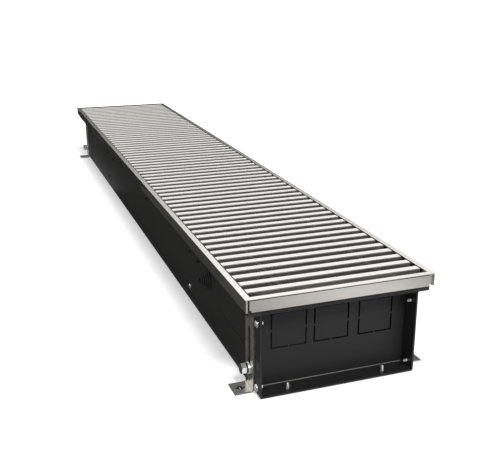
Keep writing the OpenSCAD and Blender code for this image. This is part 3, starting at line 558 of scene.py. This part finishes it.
def stand_at(box: Box, heading: Heading, head_h: float, turn_deg: float = 0.0,
             chance_deg: float = 180.0) -> Matrix:
    """Works out where a fastener stands from the box of its CAD solid.

    Args:
        box: The solid's corners, in millimetres.
        heading: Where its head points.
        head_h: Height of its head above its seat.
        turn_deg: How far it is turned about Z.
        chance_deg: How far it may be turned further, by chance.

    Returns:
        The place of its seat, turned so that Z runs to the head.
    """
    low, high = box
    middle = (low + high) / 2
    spin = Matrix.Rotation(math.radians(turn_deg + HAND.uniform(0, chance_deg)), 4, "Z")
    if heading is Heading.OUTWARD:
        side = 1 if middle.x > 0 else -1
        middle.x = high.x - head_h if side > 0 else low.x + head_h
        spin = Matrix.Rotation(side * math.pi / 2, 4, "Y") @ spin
    elif heading is Heading.UP:
        middle.z = high.z - head_h
    else:
        middle.z = low.z + head_h
        spin = Matrix.Rotation(math.pi, 4, "X") @ spin
    return Matrix.Translation(middle * MM) @ spin


# Pieces


@dataclass(frozen=True)
class Fold:
    """A sharp fold of a CAD sheet that gets the radius of the press brake."""

    radius_mm: float
    test: EdgeTest


@dataclass(frozen=True)
class Patch:
    """Faces of a piece that have a finish of their own, found by middle in millimetres and normal."""

    finish: Finish
    test: FaceTest


def lay_patches(piece: Piece, patches: tuple[Patch, ...]) -> None:
    """Gives each patch's faces its finish."""
    for number, patch in enumerate(patches, start=1):
        piece.data.materials.append(patch.finish.material())
        for face in piece.data.polygons:
            if patch.test(face.center / MM, face.normal):
                face.material_index = number


@dataclass
class FinishedCopy:
    """A CAD node's welded copy, with its edges eased and its faces dressed."""

    node: str
    edge_mm: float = 0.3
    segments: int = 2
    angle_deg: float = 30.0
    flat_deg: float = 0.5
    fold_steps: int = 6
    folds: tuple[Fold, ...] = ()
    patches: tuple[Patch, ...] = ()

    def build(self) -> None:
        """Makes the piece and puts it in the node's place."""
        piece = self.weld()
        for fold in self.folds:
            pick_edges(piece, fold.test)
            bpy.ops.mesh.bevel(offset=fold.radius_mm * MM, segments=self.fold_steps, affect="EDGES",
                               clamp_overlap=False)
            bpy.ops.object.mode_set(mode="OBJECT")
        modify(piece, "BEVEL", width=self.edge_mm * MM, segments=self.segments, limit_method="ANGLE",
               angle_limit=math.radians(self.angle_deg), use_clamp_overlap=True)
        smooth(piece, self.angle_deg)
        dress(piece, NODE_FINISH[self.node])
        lay_patches(piece, self.patches)
        stand_for(piece, self.node)

    def weld(self) -> Piece:
        """Copies the node's loose triangles and merges them into whole faces."""
        piece = bpy.data.objects.new(self.node, frame["nodes"][self.node].data.copy())
        bpy.context.scene.collection.objects.link(piece)
        only(piece)
        with editing():
            bpy.ops.mesh.remove_doubles(threshold=NODE_WELD_MM * MM)
            bpy.ops.mesh.dissolve_limited(angle_limit=math.radians(self.flat_deg))
        return piece


@dataclass
class EdgeFrame:
    """The mitred frame of four profiles, with its corner keys and rivets."""

    edge_mm: float = 0.3
    key_edge_mm: float = 0.4
    groove_mm: tuple[float, float] = (0.85, 2.55)

    def in_groove(self, depth_mm: float) -> bool:
        """Tells whether a depth under the frame's top lies in the groove of its fascia."""
        return self.groove_mm[0] < depth_mm < self.groove_mm[1]

    def build(self) -> None:
        """Makes the profiles and the keys."""
        for node in ("frame_left", "frame_right", "frame_near", "frame_far"):
            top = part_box(node)[1][2] / MM
            # The groove's faces get painted shade
            groove = Patch(FRAME_GROOVE_SHADE, lambda middle, normal, top=top: self.in_groove(top - middle.z))
            FinishedCopy(node, edge_mm=self.edge_mm, patches=(groove,)).build()
        # The right keys keep bare aluminium; the left ones keep the painted shade of their node's finish
        bare = Patch(BARE_KEY, lambda middle, normal: middle.x > 0)
        FinishedCopy("frame_corner_keys", edge_mm=self.key_edge_mm, patches=(bare,)).build()
        FinishedCopy("frame_rivets", edge_mm=0.15, segments=1).build()


@dataclass
class BarGrille:
    """The roll-up grille: brushed crowns over shoulders and flanks painted darker as shade, so that the gaps
    read deep.
    """

    edge_mm: float = 0.2
    segments: int = 1
    shoulder_share: float = 0.99
    flank_share: float = 0.4

    def build(self) -> None:
        """Makes the bars."""
        # Shoulders and flanks get painted shade
        shoulder = Patch(SHADED_BAR_SHOULDER, lambda middle, normal: normal.z < self.shoulder_share)
        flank = Patch(SHADED_BAR_FLANK, lambda middle, normal: normal.z < self.flank_share)
        FinishedCopy("grille_bars", edge_mm=self.edge_mm, segments=self.segments, angle_deg=40,
                     patches=(shoulder, flank)).build()


@dataclass
class SheetTrough:
    """The trough and the two trays that close its ends, all of folded sheet."""

    edge_mm: float = 0.25
    bend_top_mm: float = 8.0

    def build(self) -> None:
        """Makes the trough, the end plates and the sheet supports inside."""
        # The near tray's bend gets a painted highlight
        bend = Patch(PAINTED_BEND_HIGHLIGHT, lambda middle, normal: normal.y < -ALONGSIDE and normal.z > ALONGSIDE
                     and middle.z < self.bend_top_mm)
        FinishedCopy("end_plate_near", edge_mm=self.edge_mm, patches=(bend,)).build()
        for node in ("trough_body", "end_plate_far"):
            FinishedCopy(node, edge_mm=self.edge_mm).build()
        for node in NODES_OF[BRACKET_COAT].split():
            FinishedCopy(node, edge_mm=self.edge_mm, segments=1).build()


@dataclass
class BentFoot:
    """A levelling foot of zinc sheet, folded once, with its slots and holes; its plate's top is bright zinc
    or carries painted shade, as chosen per foot.
    """

    node: str
    leg_face_mm: float = 109.2
    sheet_mm: float = 2.0
    inner_radius_mm: float = 1.5
    edge_mm: float = 0.25
    cross_x_mm: float = 123.5
    cross_mm: tuple[float, float] = (13.0, 5.0)
    lip_mm: float = 2.1
    shade_plug_mm: float = 0.7
    shade_plug_share: float = 0.6
    shade_plug_edge_mm: float = 0.15
    plate_shaded: bool = True

    def build(self) -> None:
        """Makes the foot, with both radii of its fold."""
        def runs(a: Vector, b: Vector, x: float, z: float) -> bool:
            """Tells whether an edge runs along the length at a place across the width and a height."""
            return all(abs(abs(p.x) - x) < NEAR_MM and abs(p.z - z) < NEAR_MM for p in (a, b))

        outer, inner = self.leg_face_mm, self.leg_face_mm + self.sheet_mm
        # Painted shade on the plate's upward faces
        dull = Patch(SHADED_ZINC, lambda middle, normal: normal.z > FACING and middle.z < 2 * self.sheet_mm)
        FinishedCopy(self.node, edge_mm=self.edge_mm, folds=(
            Fold(self.inner_radius_mm + self.sheet_mm, lambda a, b: runs(a, b, outer, 0.0)),
            Fold(self.inner_radius_mm, lambda a, b: runs(a, b, inner, self.sheet_mm)),
        ), patches=(dull,) if self.plate_shaded else ()).build()
        self.set_shade_plug()

    def set_shade_plug(self) -> None:
        """Sets a dark rubber plug, itself slit crosswise, in the foot's cross-shaped hole, as painted shade
        where the lit floor would show through.
        """
        low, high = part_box(self.node)
        side = 1 if low[0] > 0 else -1
        middle = Vector((side * self.cross_x_mm * MM, (low[1] + high[1]) / 2,
                         self.shade_plug_mm * self.shade_plug_share * MM))
        length, width = self.cross_mm
        shade_plug = self.slab(middle, length, width, self.shade_plug_mm)
        combine(shade_plug, self.slab(middle, width, length, self.shade_plug_mm), "UNION")
        slit_l, slit_w = length - 2 * self.lip_mm, width - 2 * self.lip_mm
        for x, y in ((slit_l, slit_w), (slit_w, slit_l)):
            combine(shade_plug, self.slab(middle, x, y, 3 * self.shade_plug_mm), "DIFFERENCE")
        modify(shade_plug, "BEVEL", width=self.shade_plug_edge_mm * MM, segments=2, limit_method="ANGLE")
        smooth(shade_plug)
        shade_plug.name = self.node + "_shade_plug"
        dress(shade_plug, RUBBER)
        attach(shade_plug, BODY_OF[self.node])
        LOG.info("%s: %d faces on %s", shade_plug.name, len(shade_plug.data.polygons), BODY_OF[self.node])

    def slab(self, middle: Vector, x_mm: float, y_mm: float, z_mm: float) -> Piece:
        """Draws a slab about a middle, with its place in its mesh."""
        bpy.ops.object.select_all(action="DESELECT")
        bpy.ops.mesh.primitive_cube_add(size=1, location=middle)
        body = bpy.context.active_object
        body.scale = (x_mm * MM, y_mm * MM, z_mm * MM)
        bpy.ops.object.transform_apply(location=True, rotation=True, scale=True)
        return body


@dataclass
class FootBolt:
    """The hex bolts that clamp the feet, with their washers, rubber rings and nuts."""

    radius: float = 4.0
    core: float = 3.4
    pitch: float = 1.25
    flats: float = 13.0
    head_h: float = 6.5
    chamfer_r: float = 6.1
    nut_h: float = 6.5
    washer_r: float = 8.0
    washer_t: float = 1.6
    washer_count: int = 2
    ring_r: float = 6.7
    ring_t: float = 2.0
    bore: float = 4.05
    tip_l: float = 0.6
    tip_in: float = 0.5
    shank_l: float = 5.6
    core_from: float = 6.2
    thread_from: float = 5.2
    sunk: float = 0.4
    lathe_r: float = 10.0
    chamfer_deg: float = 30.0
    ease: float = 0.3
    nut_ease: float = 0.5
    washer_rim: tuple[Ring, ...] = ((0.35, 0.02), (0.0, 0.3), (0.0, 1.1), (0.2, 1.45))
    ring_rim: tuple[Ring, ...] = ((0.4, 0.0), (0.1, 0.2), (0.0, 0.5), (0.1, 0.8), (0.4, 1.0))

    def build(self) -> None:
        """Makes the bolts, the washers, the rings and the nuts."""
        self.bolts()
        self.washers()
        self.rings()
        self.nuts()

    def hexagon(self, height: float, both: bool) -> Piece:
        """Makes a hexagon with its corners turned off.

        Args:
            height: Its height, in millimetres.
            both: Whether the lower end is turned off too.

        Returns:
            The hexagon, standing on the origin.
        """
        body = turn([(self.flats / math.sqrt(3), 0), (self.flats / math.sqrt(3), height)], sides=6)
        drop = (self.lathe_r - self.chamfer_r) * math.tan(math.radians(self.chamfer_deg))
        foot = [(self.chamfer_r, 0), (self.lathe_r, drop)] if both else [(self.lathe_r, -1)]
        lathe = turn(foot + [(self.lathe_r, height - drop), (self.chamfer_r, height)], sides=48)
        combine(body, lathe, "INTERSECT")
        return body

    def bolts(self) -> None:
        """Makes the bolts, each with a head, a shank and a thread."""
        boxes = solids("foot_bolts")
        low, high = boxes[0]
        length = high.x - low.x - self.head_h
        head = self.hexagon(self.head_h, both=False)
        tip = self.tip_l - length
        shank = turn([(self.core - self.tip_in, -length), (self.core, tip), (self.core, -self.core_from),
                      (self.radius, -self.shank_l), (self.radius, self.sunk)], sides=32)
        thread = wind_thread(self.radius, self.radius - self.core + ROOT_MM, self.pitch, tip,
                             -self.thread_from)
        places = [stand_at(b, Heading.OUTWARD, self.head_h, turn_deg=30.0, chance_deg=3.0) for b in boxes]
        # Painted highlight on the flat that faces the front
        flat = Patch(PAINTED_HIGHLIGHT, lambda middle, normal: normal.y < -FACING and normal.z < ALONGSIDE
                     and abs(normal.x) < ALONGSIDE)
        # Painted shade on the faces that look along the bolt
        face = Patch(SHADED_BOLT_FACE, lambda middle, normal: abs(normal.x) > FACING)
        stamp(join([head, shank, thread]), places, "foot_bolts", (flat, face))

    def washers(self) -> None:
        """Makes the washers, stamped with a slightly rounded rim."""
        r, height = self.washer_r, self.washer_t * self.washer_count
        rim = [(r - inward, number * self.washer_t + up)
               for number in range(self.washer_count) for inward, up in self.washer_rim]
        top = [(r - 2 * self.ease, height), (self.bore + self.ease, height), (self.bore, height - self.ease)]
        pair = turn([(self.bore, 0)] + rim + top, sides=40, loop=True)
        stamp(pair, [stand_at(b, Heading.OUTWARD, height) for b in solids("foot_washers")], "foot_washers")

    def rings(self) -> None:
        """Makes the rubber rings, which bulge a little under the heads."""
        t = self.ring_t
        rim = [(self.ring_r - inward, t * share) for inward, share in self.ring_rim]
        ring = turn([(self.bore, 0)] + rim + [(self.bore, t)], sides=40, loop=True)
        stamp(ring, [stand_at(b, Heading.OUTWARD, t) for b in solids("foot_rings")], "foot_rings")

    def nuts(self) -> None:
        """Makes the nuts, with turned corners and a countersunk bore."""
        nut = self.hexagon(self.nut_h, both=True)
        h, bore, ease = self.nut_h, self.bore, self.nut_ease
        combine(nut, turn([(bore + ease, -CUT_MM), (bore, ease), (bore, h / 2), (bore, h - ease),
                           (bore + ease, h + CUT_MM)], sides=32), "DIFFERENCE")
        places = []
        for low, high in solids("foot_nuts"):
            middle = (low + high) / 2
            side = 1 if middle.x > 0 else -1
            middle.x -= side * self.nut_h / 2
            places.append(Matrix.Translation(middle * MM) @ Matrix.Rotation(side * math.pi / 2, 4, "Y")
                          @ Matrix.Rotation(math.pi / 6, 4, "Z"))
        stamp(nut, places, "foot_nuts")


@dataclass
class SheetScrews:
    """One node's sheet screws: a head with a hex socket, and a thread down to a blunt tip."""

    node: str
    heading: Heading
    head_r: float
    head_h: float
    thread_r: float = 2.3
    domed: bool = True
    pitch: float = 1.2
    tip_share: float = 0.6
    tip_l: float = 0.7
    sunk: float = 0.05
    socket_r_share: float = 0.46
    socket_h_share: float = 0.45
    core_share: float = 0.78
    wall_share: float = 0.7
    ease: float = 0.3
    seat_ease: float = 0.2
    thread_tip: float = 0.25
    thread_top: float = 0.1
    patches: tuple[Patch, ...] = ()

    def head_rings(self) -> list[Ring]:
        """Returns the rings of the head, from its seat to its crown."""
        r, h = self.head_r, self.head_h
        if not self.domed:
            return [(r, 0), (r, h * self.wall_share), (r - self.ease, h)]
        return [(r - self.seat_ease, 0)] + [(r * wide, h * high) for wide, high in DOME_SHARES]

    def build(self) -> None:
        """Makes one screw and sets a copy in each hole."""
        boxes = solids(self.node)
        low, high = boxes[0]
        span = high.x - low.x if self.heading is Heading.OUTWARD else high.z - low.z
        length = span - self.head_h
        core = self.thread_r * self.core_share
        shank = [(core * self.tip_share, -length), (core, -length + self.tip_l), (core, -self.sunk)]
        screw = turn(shank + self.head_rings(), sides=32)
        if self.domed:
            wide, deep = self.head_r * self.socket_r_share, self.head_h * self.socket_h_share
            socket = turn([(wide, self.head_h - deep), (wide, self.head_h + 1)], sides=6)
            combine(screw, socket, "DIFFERENCE")
        thread = wind_thread(self.thread_r, self.thread_r - core + ROOT_MM, self.pitch,
                             -length + self.thread_tip, -self.thread_top)
        stamp(join([screw, thread]), [stand_at(b, self.heading, self.head_h) for b in boxes], self.node,
              self.patches)


@dataclass
class CableGrommet:
    """The stepped rubber cone that seals a cable, with its flange behind the wall."""

    node: str = "cable_grommet"
    wall_mm: float = 1.2
    flange_t: float = 2.0
    length: float = 15.0
    base_r: float = 17.0
    tip_r: float = 4.5
    steps: int = 6
    bore_r: float = 3.0
    neck_r: float = 11.95
    back_r: float = 14.0
    valley: float = 0.66
    ease: float = 0.3
    back_ease: float = 0.5
    seat_ease: float = 0.4
    rib_start: float = 0.25
    rib_ease: float = 0.35
    rib_reach: float = 0.25
    rib_shares: tuple[float, float, float] = (0.45, 0.62, 0.74)

    def build(self) -> None:
        """Turns the grommet from its bore round its steps."""
        back = -self.wall_mm - self.flange_t
        r, wall, ease = self.back_r, self.wall_mm, self.ease
        rings = [(self.bore_r, back), (r - 2 * ease, back), (r, back + self.back_ease), (r, -wall - ease),
                 (r - self.seat_ease, -wall), (self.neck_r, -wall), (self.neck_r, 0), (self.base_r - ease, 0)]
        rise = self.length / self.steps
        drop = (self.base_r - self.tip_r) / (self.steps - 1)
        ribs = [self.base_r - step * drop for step in range(self.steps)]
        for step, r in enumerate(ribs):
            z = step * rise
            wall_end, slope_end, valley_start = (z + rise * share for share in self.rib_shares)
            rings += [(r, z + self.rib_start), (r, wall_end), (r - self.rib_ease, slope_end)]
            if step < self.steps - 1:
                root = r - drop - self.valley
                rings += [(root, valley_start), (root, z + rise)]
        rings += [(self.tip_r - 2 * ease, self.length), (self.bore_r, self.length)]
        cone = turn(rings, sides=64, loop=True)
        (low, high), = solids(self.node)
        middle = (low + high) / 2
        middle.x = low.x + self.length
        # Painted highlights on the faces round each rib
        rib_highlight = Patch(PAINTED_RIB_HIGHLIGHT, lambda face, normal: abs(normal.x) < FACING and any(
            abs(math.hypot(face.y - middle.y, face.z - middle.z) - r) < self.rib_reach for r in ribs))
        place = Matrix.Translation(middle * MM) @ Matrix.Rotation(-math.pi / 2, 4, "Y")
        stamp(cone, [place], self.node, (rib_highlight,))


@dataclass
class HandCap:
    """The supply valve's hand cap: a fluted grip with a softly rounded crown."""

    node: str = "supply_hand_cap"
    radius: float = 16.0
    skirt: float = 5.0
    height: float = 18.0
    stem_r: float = 9.3
    spindle_r: float = 3.3
    spindle_h: float = 6.3
    flutes: int = 12
    sides_each: int = 8
    skirt_ease: float = 0.7
    crown: tuple[Ring, ...] = ((0.0, 3.2), (0.4, 1.8), (1.3, 0.7), (2.8, 0.0), (4.2, 0.1), (4.6, 0.5))
    dimple: Ring = (0.6, 0.6)
    flute_deep: float = 1.0
    flute_side: float = 0.35
    grip_in: float = 2.0

    def build(self) -> None:
        """Turns the cap round its pocket and presses the flutes in."""
        top, r, ease = self.height - self.skirt, self.radius, self.skirt_ease
        pocket = [(self.spindle_r, self.spindle_h), (self.spindle_r, 0), (self.stem_r, 0)]
        skirt = [(self.stem_r, -self.skirt), (r - ease, -self.skirt), (r, -self.skirt + ease)]
        crown = [(r - inward, top - down) for inward, down in self.crown]
        cap = turn(pocket + skirt + crown + [(self.dimple[0], top - self.dimple[1])],
                   sides=self.flutes * self.sides_each)
        side = self.flute_side
        for offset, depth in ((0, self.flute_deep), (1, side), (self.sides_each - 1, side)):
            self.press(cap, offset, 1 - depth / r)
        box, = solids(self.node)
        place = (box[0] + box[1]) / 2
        place.z = box[0].z + self.skirt
        stamp(cap, [Matrix.Translation(place * MM)], self.node)

    def press(self, cap: Piece, offset: int, ratio: float) -> None:
        """Draws the rim's corners that have one offset in their flutes towards the axis, by a ratio."""
        only(cap)
        bpy.context.tool_settings.mesh_select_mode = (True, False, False)
        with editing("DESELECT"):
            pass
        count = self.flutes * self.sides_each
        for vertex in cap.data.vertices:
            number = round(math.atan2(vertex.co.y, vertex.co.x) / (2 * math.pi) * count) % self.sides_each
            vertex.select = vertex.co.xy.length > (self.radius - self.grip_in) * MM and number == offset
        bpy.ops.object.mode_set(mode="EDIT")
        bpy.ops.transform.resize(value=(ratio, ratio, 1), center_override=(0, 0, 0))
        bpy.ops.object.mode_set(mode="OBJECT")


@dataclass
class ValveGear:
    """The valves, unions and bleed valve, forged and turned, with eased edges."""

    edge_mm: float = 0.4

    def build(self) -> None:
        """Makes the bodies, nuts and caps."""
        for node in ("supply_valve_body", "return_valve_body", "union_nuts", "tube_tails",
                     "return_lockshield_cap", "bleed_valve_body", "bleed_screw"):
            FinishedCopy(node, edge_mm=self.edge_mm).build()
        HandCap().build()


@dataclass
class Fasteners:
    """Every screw of the sheet work."""

    tip_x_mm: float = 106.0
    low_z_mm: float = 60.0

    def build(self) -> None:
        """Makes the screws of the end plates, the supports and the baffle."""
        # Painted highlight on the tips of the left end plates' screws
        tip = Patch(PAINTED_HIGHLIGHT, lambda middle, normal: -self.tip_x_mm < middle.x < 0)
        SheetScrews("end_plate_screws", Heading.OUTWARD, head_r=4.8, head_h=2.6, patches=(tip,)).build()
        SheetScrews("end_floor_screws", Heading.DOWN, head_r=3.6, head_h=0.8, domed=False).build()
        # The near, low cradle screws keep their zinc plating; the rest keep the painted shade
        bright = Patch(ZINC_PLATE, lambda middle, normal: middle.y < 0 and middle.z < self.low_z_mm)
        SheetScrews("cradle_screws", Heading.OUTWARD, head_r=4.0, head_h=2.2, patches=(bright,)).build()
        SheetScrews("brace_screws", Heading.OUTWARD, head_r=4.0, head_h=2.2).build()
        SheetScrews("baffle_screws", Heading.UP, head_r=3.2, head_h=2.0, thread_r=1.6, pitch=0.9).build()


# Studio


@dataclass(frozen=True)
class Card:
    """A dark card on the floor, which only shows in glossy faces.

    Its corners in plan are in metres. A fade says where across the width the card is whole and where it
    has thinned out to nothing.
    """

    name: str
    low: Plan
    high: Plan
    colour: str
    fade: tuple[float, float] | None = None


CARDS = (
    Card("dark_card_near", (-3.0, -0.85), (-0.113, -0.35), "#535250"),
    Card("dark_card_middle", (-3.0, -0.35), (-0.113, 0.3), "#474644"),
    Card("dark_card_far", (-3.0, 0.3), (-0.14, 4.0), "#31302e"),
    Card("dark_card_front_left", (-3.0, -2.5), (0.14, -0.85), "#504e4a", fade=(-0.23, 0.14)),
    Card("dark_card_front_right", (0.23, -2.5), (3.0, -0.85), "#504e4a", fade=(0.46, 0.23)),
)


@dataclass
class Studio:
    """The floor, the light and the camera at the photograph's viewing angle."""

    eye: tuple[float, float, float] = (-0.3998, -1.5187, 0.4973)
    yaw_deg: float = 19.726
    pitch_deg: float = 17.948
    lens_mm: float = 54.26
    sensor_mm: float = 36.0
    floor_m: float = 120.0
    floor_drop_mm: float = 0.2
    floor_colour: str = "#fdfdfd"
    floor_lift: float = 0.44
    sky: float = 0.39
    dawn: Limits = (0.175, 0.44, 0.01, 1.8)
    dusk: Limits = (0.5, 0.7, 1.0, 0.22)
    sun: float = 2.2
    sun_from: tuple[float, float, float] = (0.02, -0.92, 1.0)
    sun_spread_deg: float = 13.0

    def build(self) -> None:
        """Makes the floor, the lights and the camera."""
        self.lay_floor()
        for card in CARDS:
            self.lay_card(card)
        self.light_sky()
        self.hang_sun()
        self.stand_camera()
        bpy.context.scene.view_settings.view_transform = "Standard"

    def sheet(self, name: str, paper: str, low: Plan, high: Plan, drop_mm: float,
              colour: str) -> tuple[Piece, Tree, Node]:
        """Lays a matt sheet under the heater.

        Args:
            name: The sheet's name.
            paper: Its material's name.
            low: Its lowest corner in plan, in metres.
            high: Its highest corner in plan.
            drop_mm: How far it lies under the feet.
            colour: Its colour.

        Returns:
            The sheet, its material's node tree and its shader.
        """
        bpy.ops.object.select_all(action="DESELECT")
        middle = [(a + b) / 2 for a, b in zip(low, high)]
        bpy.ops.mesh.primitive_plane_add(size=1, location=(middle[0], middle[1], -drop_mm * MM))
        piece = bpy.context.active_object
        piece.name = name
        piece.scale = (high[0] - low[0], high[1] - low[1], 1)
        made = bpy.data.materials.new(paper)
        made.use_nodes = True
        shader = made.node_tree.nodes["Principled BSDF"]
        shader.inputs["Base Color"].default_value = linear(colour)
        shader.inputs["Roughness"].default_value = 1.0
        shader.inputs["Specular IOR Level"].default_value = 0.0
        piece.data.materials.append(made)
        return piece, made.node_tree, shader

    def lay_floor(self) -> None:
        """Lays a white floor that keeps the object's shadow and burns out elsewhere."""
        half = self.floor_m / 2
        floor, tree, shader = self.sheet("studio_floor", "white studio floor", (-half, -half), (half, half),
                                         self.floor_drop_mm, self.floor_colour)
        shader.inputs["Emission Color"].default_value = WHITE
        path = add_node(tree, "ShaderNodeLightPath")
        lift = add_node(tree, "ShaderNodeMath", {1: self.floor_lift}, {0: path.outputs["Is Camera Ray"]},
                        operation="MULTIPLY")
        tree.links.new(lift.outputs[0], shader.inputs["Emission Strength"])

    def lay_card(self, card: Card) -> None:
        """Lays a dark card beside the heater and hides it from all but reflections."""
        piece, tree, shader = self.sheet(card.name, card.name, card.low, card.high, self.floor_drop_mm / 2,
                                         card.colour)
        if card.fade:
            place = add_node(tree, "ShaderNodeNewGeometry")
            split = add_node(tree, "ShaderNodeSeparateXYZ", links={"Vector": place.outputs["Position"]})
            thin = self.ramp(tree, split.outputs["X"], (*card.fade, 1.0, 0.0))
            tree.links.new(thin, shader.inputs["Alpha"])
        for ray in ("camera", "diffuse", "shadow", "transmission", "volume_scatter"):
            setattr(piece, "visible_" + ray, False)

    def ramp(self, tree: Tree, value: Socket, limits: Limits) -> Socket:
        """Maps a value from its first to its second limit to the third and the fourth."""
        names = ("From Min", "From Max", "To Min", "To Max")
        node = add_node(tree, "ShaderNodeMapRange", dict(zip(names, limits)), {"Value": value})
        return node.outputs["Result"]

    def light_sky(self) -> None:
        """Sets an even sky, white to the camera; reflections see a broad light low behind the heater.

        That light rises over `dawn` and falls off again over `dusk`, each given as the two heights of the
        view between which it changes, and its strength at both.
        """
        world = bpy.data.worlds.new("studio")
        bpy.context.scene.world = world
        world.use_nodes = True
        tree = world.node_tree
        even = tree.nodes["Background"]
        even.inputs["Color"].default_value = WHITE
        even.inputs["Strength"].default_value = self.sky
        path = add_node(tree, "ShaderNodeLightPath")
        white = add_node(tree, "ShaderNodeBackground", {"Color": WHITE, "Strength": 1.0})
        place = add_node(tree, "ShaderNodeTexCoord")
        split = add_node(tree, "ShaderNodeSeparateXYZ", links={"Vector": place.outputs["Generated"]})
        rise = self.ramp(tree, split.outputs["Z"], self.dawn)
        fall = self.ramp(tree, split.outputs["Z"], self.dusk)
        both = add_node(tree, "ShaderNodeMath", links={0: rise, 1: fall}, operation="MULTIPLY")
        glow = add_node(tree, "ShaderNodeBackground", {"Color": WHITE},
                        {"Strength": both.outputs[0]})
        gloss = add_node(tree, "ShaderNodeMixShader",
                         links={0: path.outputs["Is Glossy Ray"], 1: even.outputs[0], 2: glow.outputs[0]})
        seen = add_node(tree, "ShaderNodeMixShader",
                        links={0: path.outputs["Is Camera Ray"], 1: gloss.outputs[0], 2: white.outputs[0]})
        tree.links.new(seen.outputs[0], tree.nodes["World Output"].inputs["Surface"])

    def hang_sun(self) -> None:
        """Hangs one broad lamp high in front, so that the frame's rim shades the floor beside the trough."""
        lamp = bpy.data.lights.new("key", "SUN")
        lamp.energy = self.sun
        lamp.angle = math.radians(self.sun_spread_deg)
        key = bpy.data.objects.new("key", lamp)
        key.rotation_euler = Vector(self.sun_from).to_track_quat("Z", "Y").to_euler()
        bpy.context.scene.collection.objects.link(key)

    def stand_camera(self) -> None:
        """Stands the camera where the photograph was taken from."""
        lens = bpy.data.cameras.new("view")
        lens.lens = self.lens_mm
        lens.sensor_width = self.sensor_mm
        camera = bpy.data.objects.new("view", lens)
        camera.location = self.eye
        camera.rotation_euler = (math.radians(90 - self.pitch_deg), 0, math.radians(-self.yaw_deg))
        bpy.context.scene.collection.objects.link(camera)
        bpy.context.scene.camera = camera


def dress_frame() -> None:
    """Gives every CAD node its finish."""
    for node, finish in NODE_FINISH.items():
        dress(frame["nodes"][node], finish)


def main() -> None:
    """Builds the studio and the heater's pieces, in order."""
    logging.basicConfig(level=logging.INFO, format="%(name)s: %(message)s")
    Studio().build()
    dress_frame()
    EdgeFrame().build()
    BarGrille().build()
    SheetTrough().build()
    for node in NODES_OF[ZINC_SHEET].split():
        # The near left foot's plate keeps its bright zinc; the others get painted shade
        BentFoot(node, plate_shaded=node != "foot_near_left").build()
    FootBolt().build()
    Fasteners().build()
    CableGrommet().build()
    ValveGear().build()


if __name__ == "__main__":
    main()
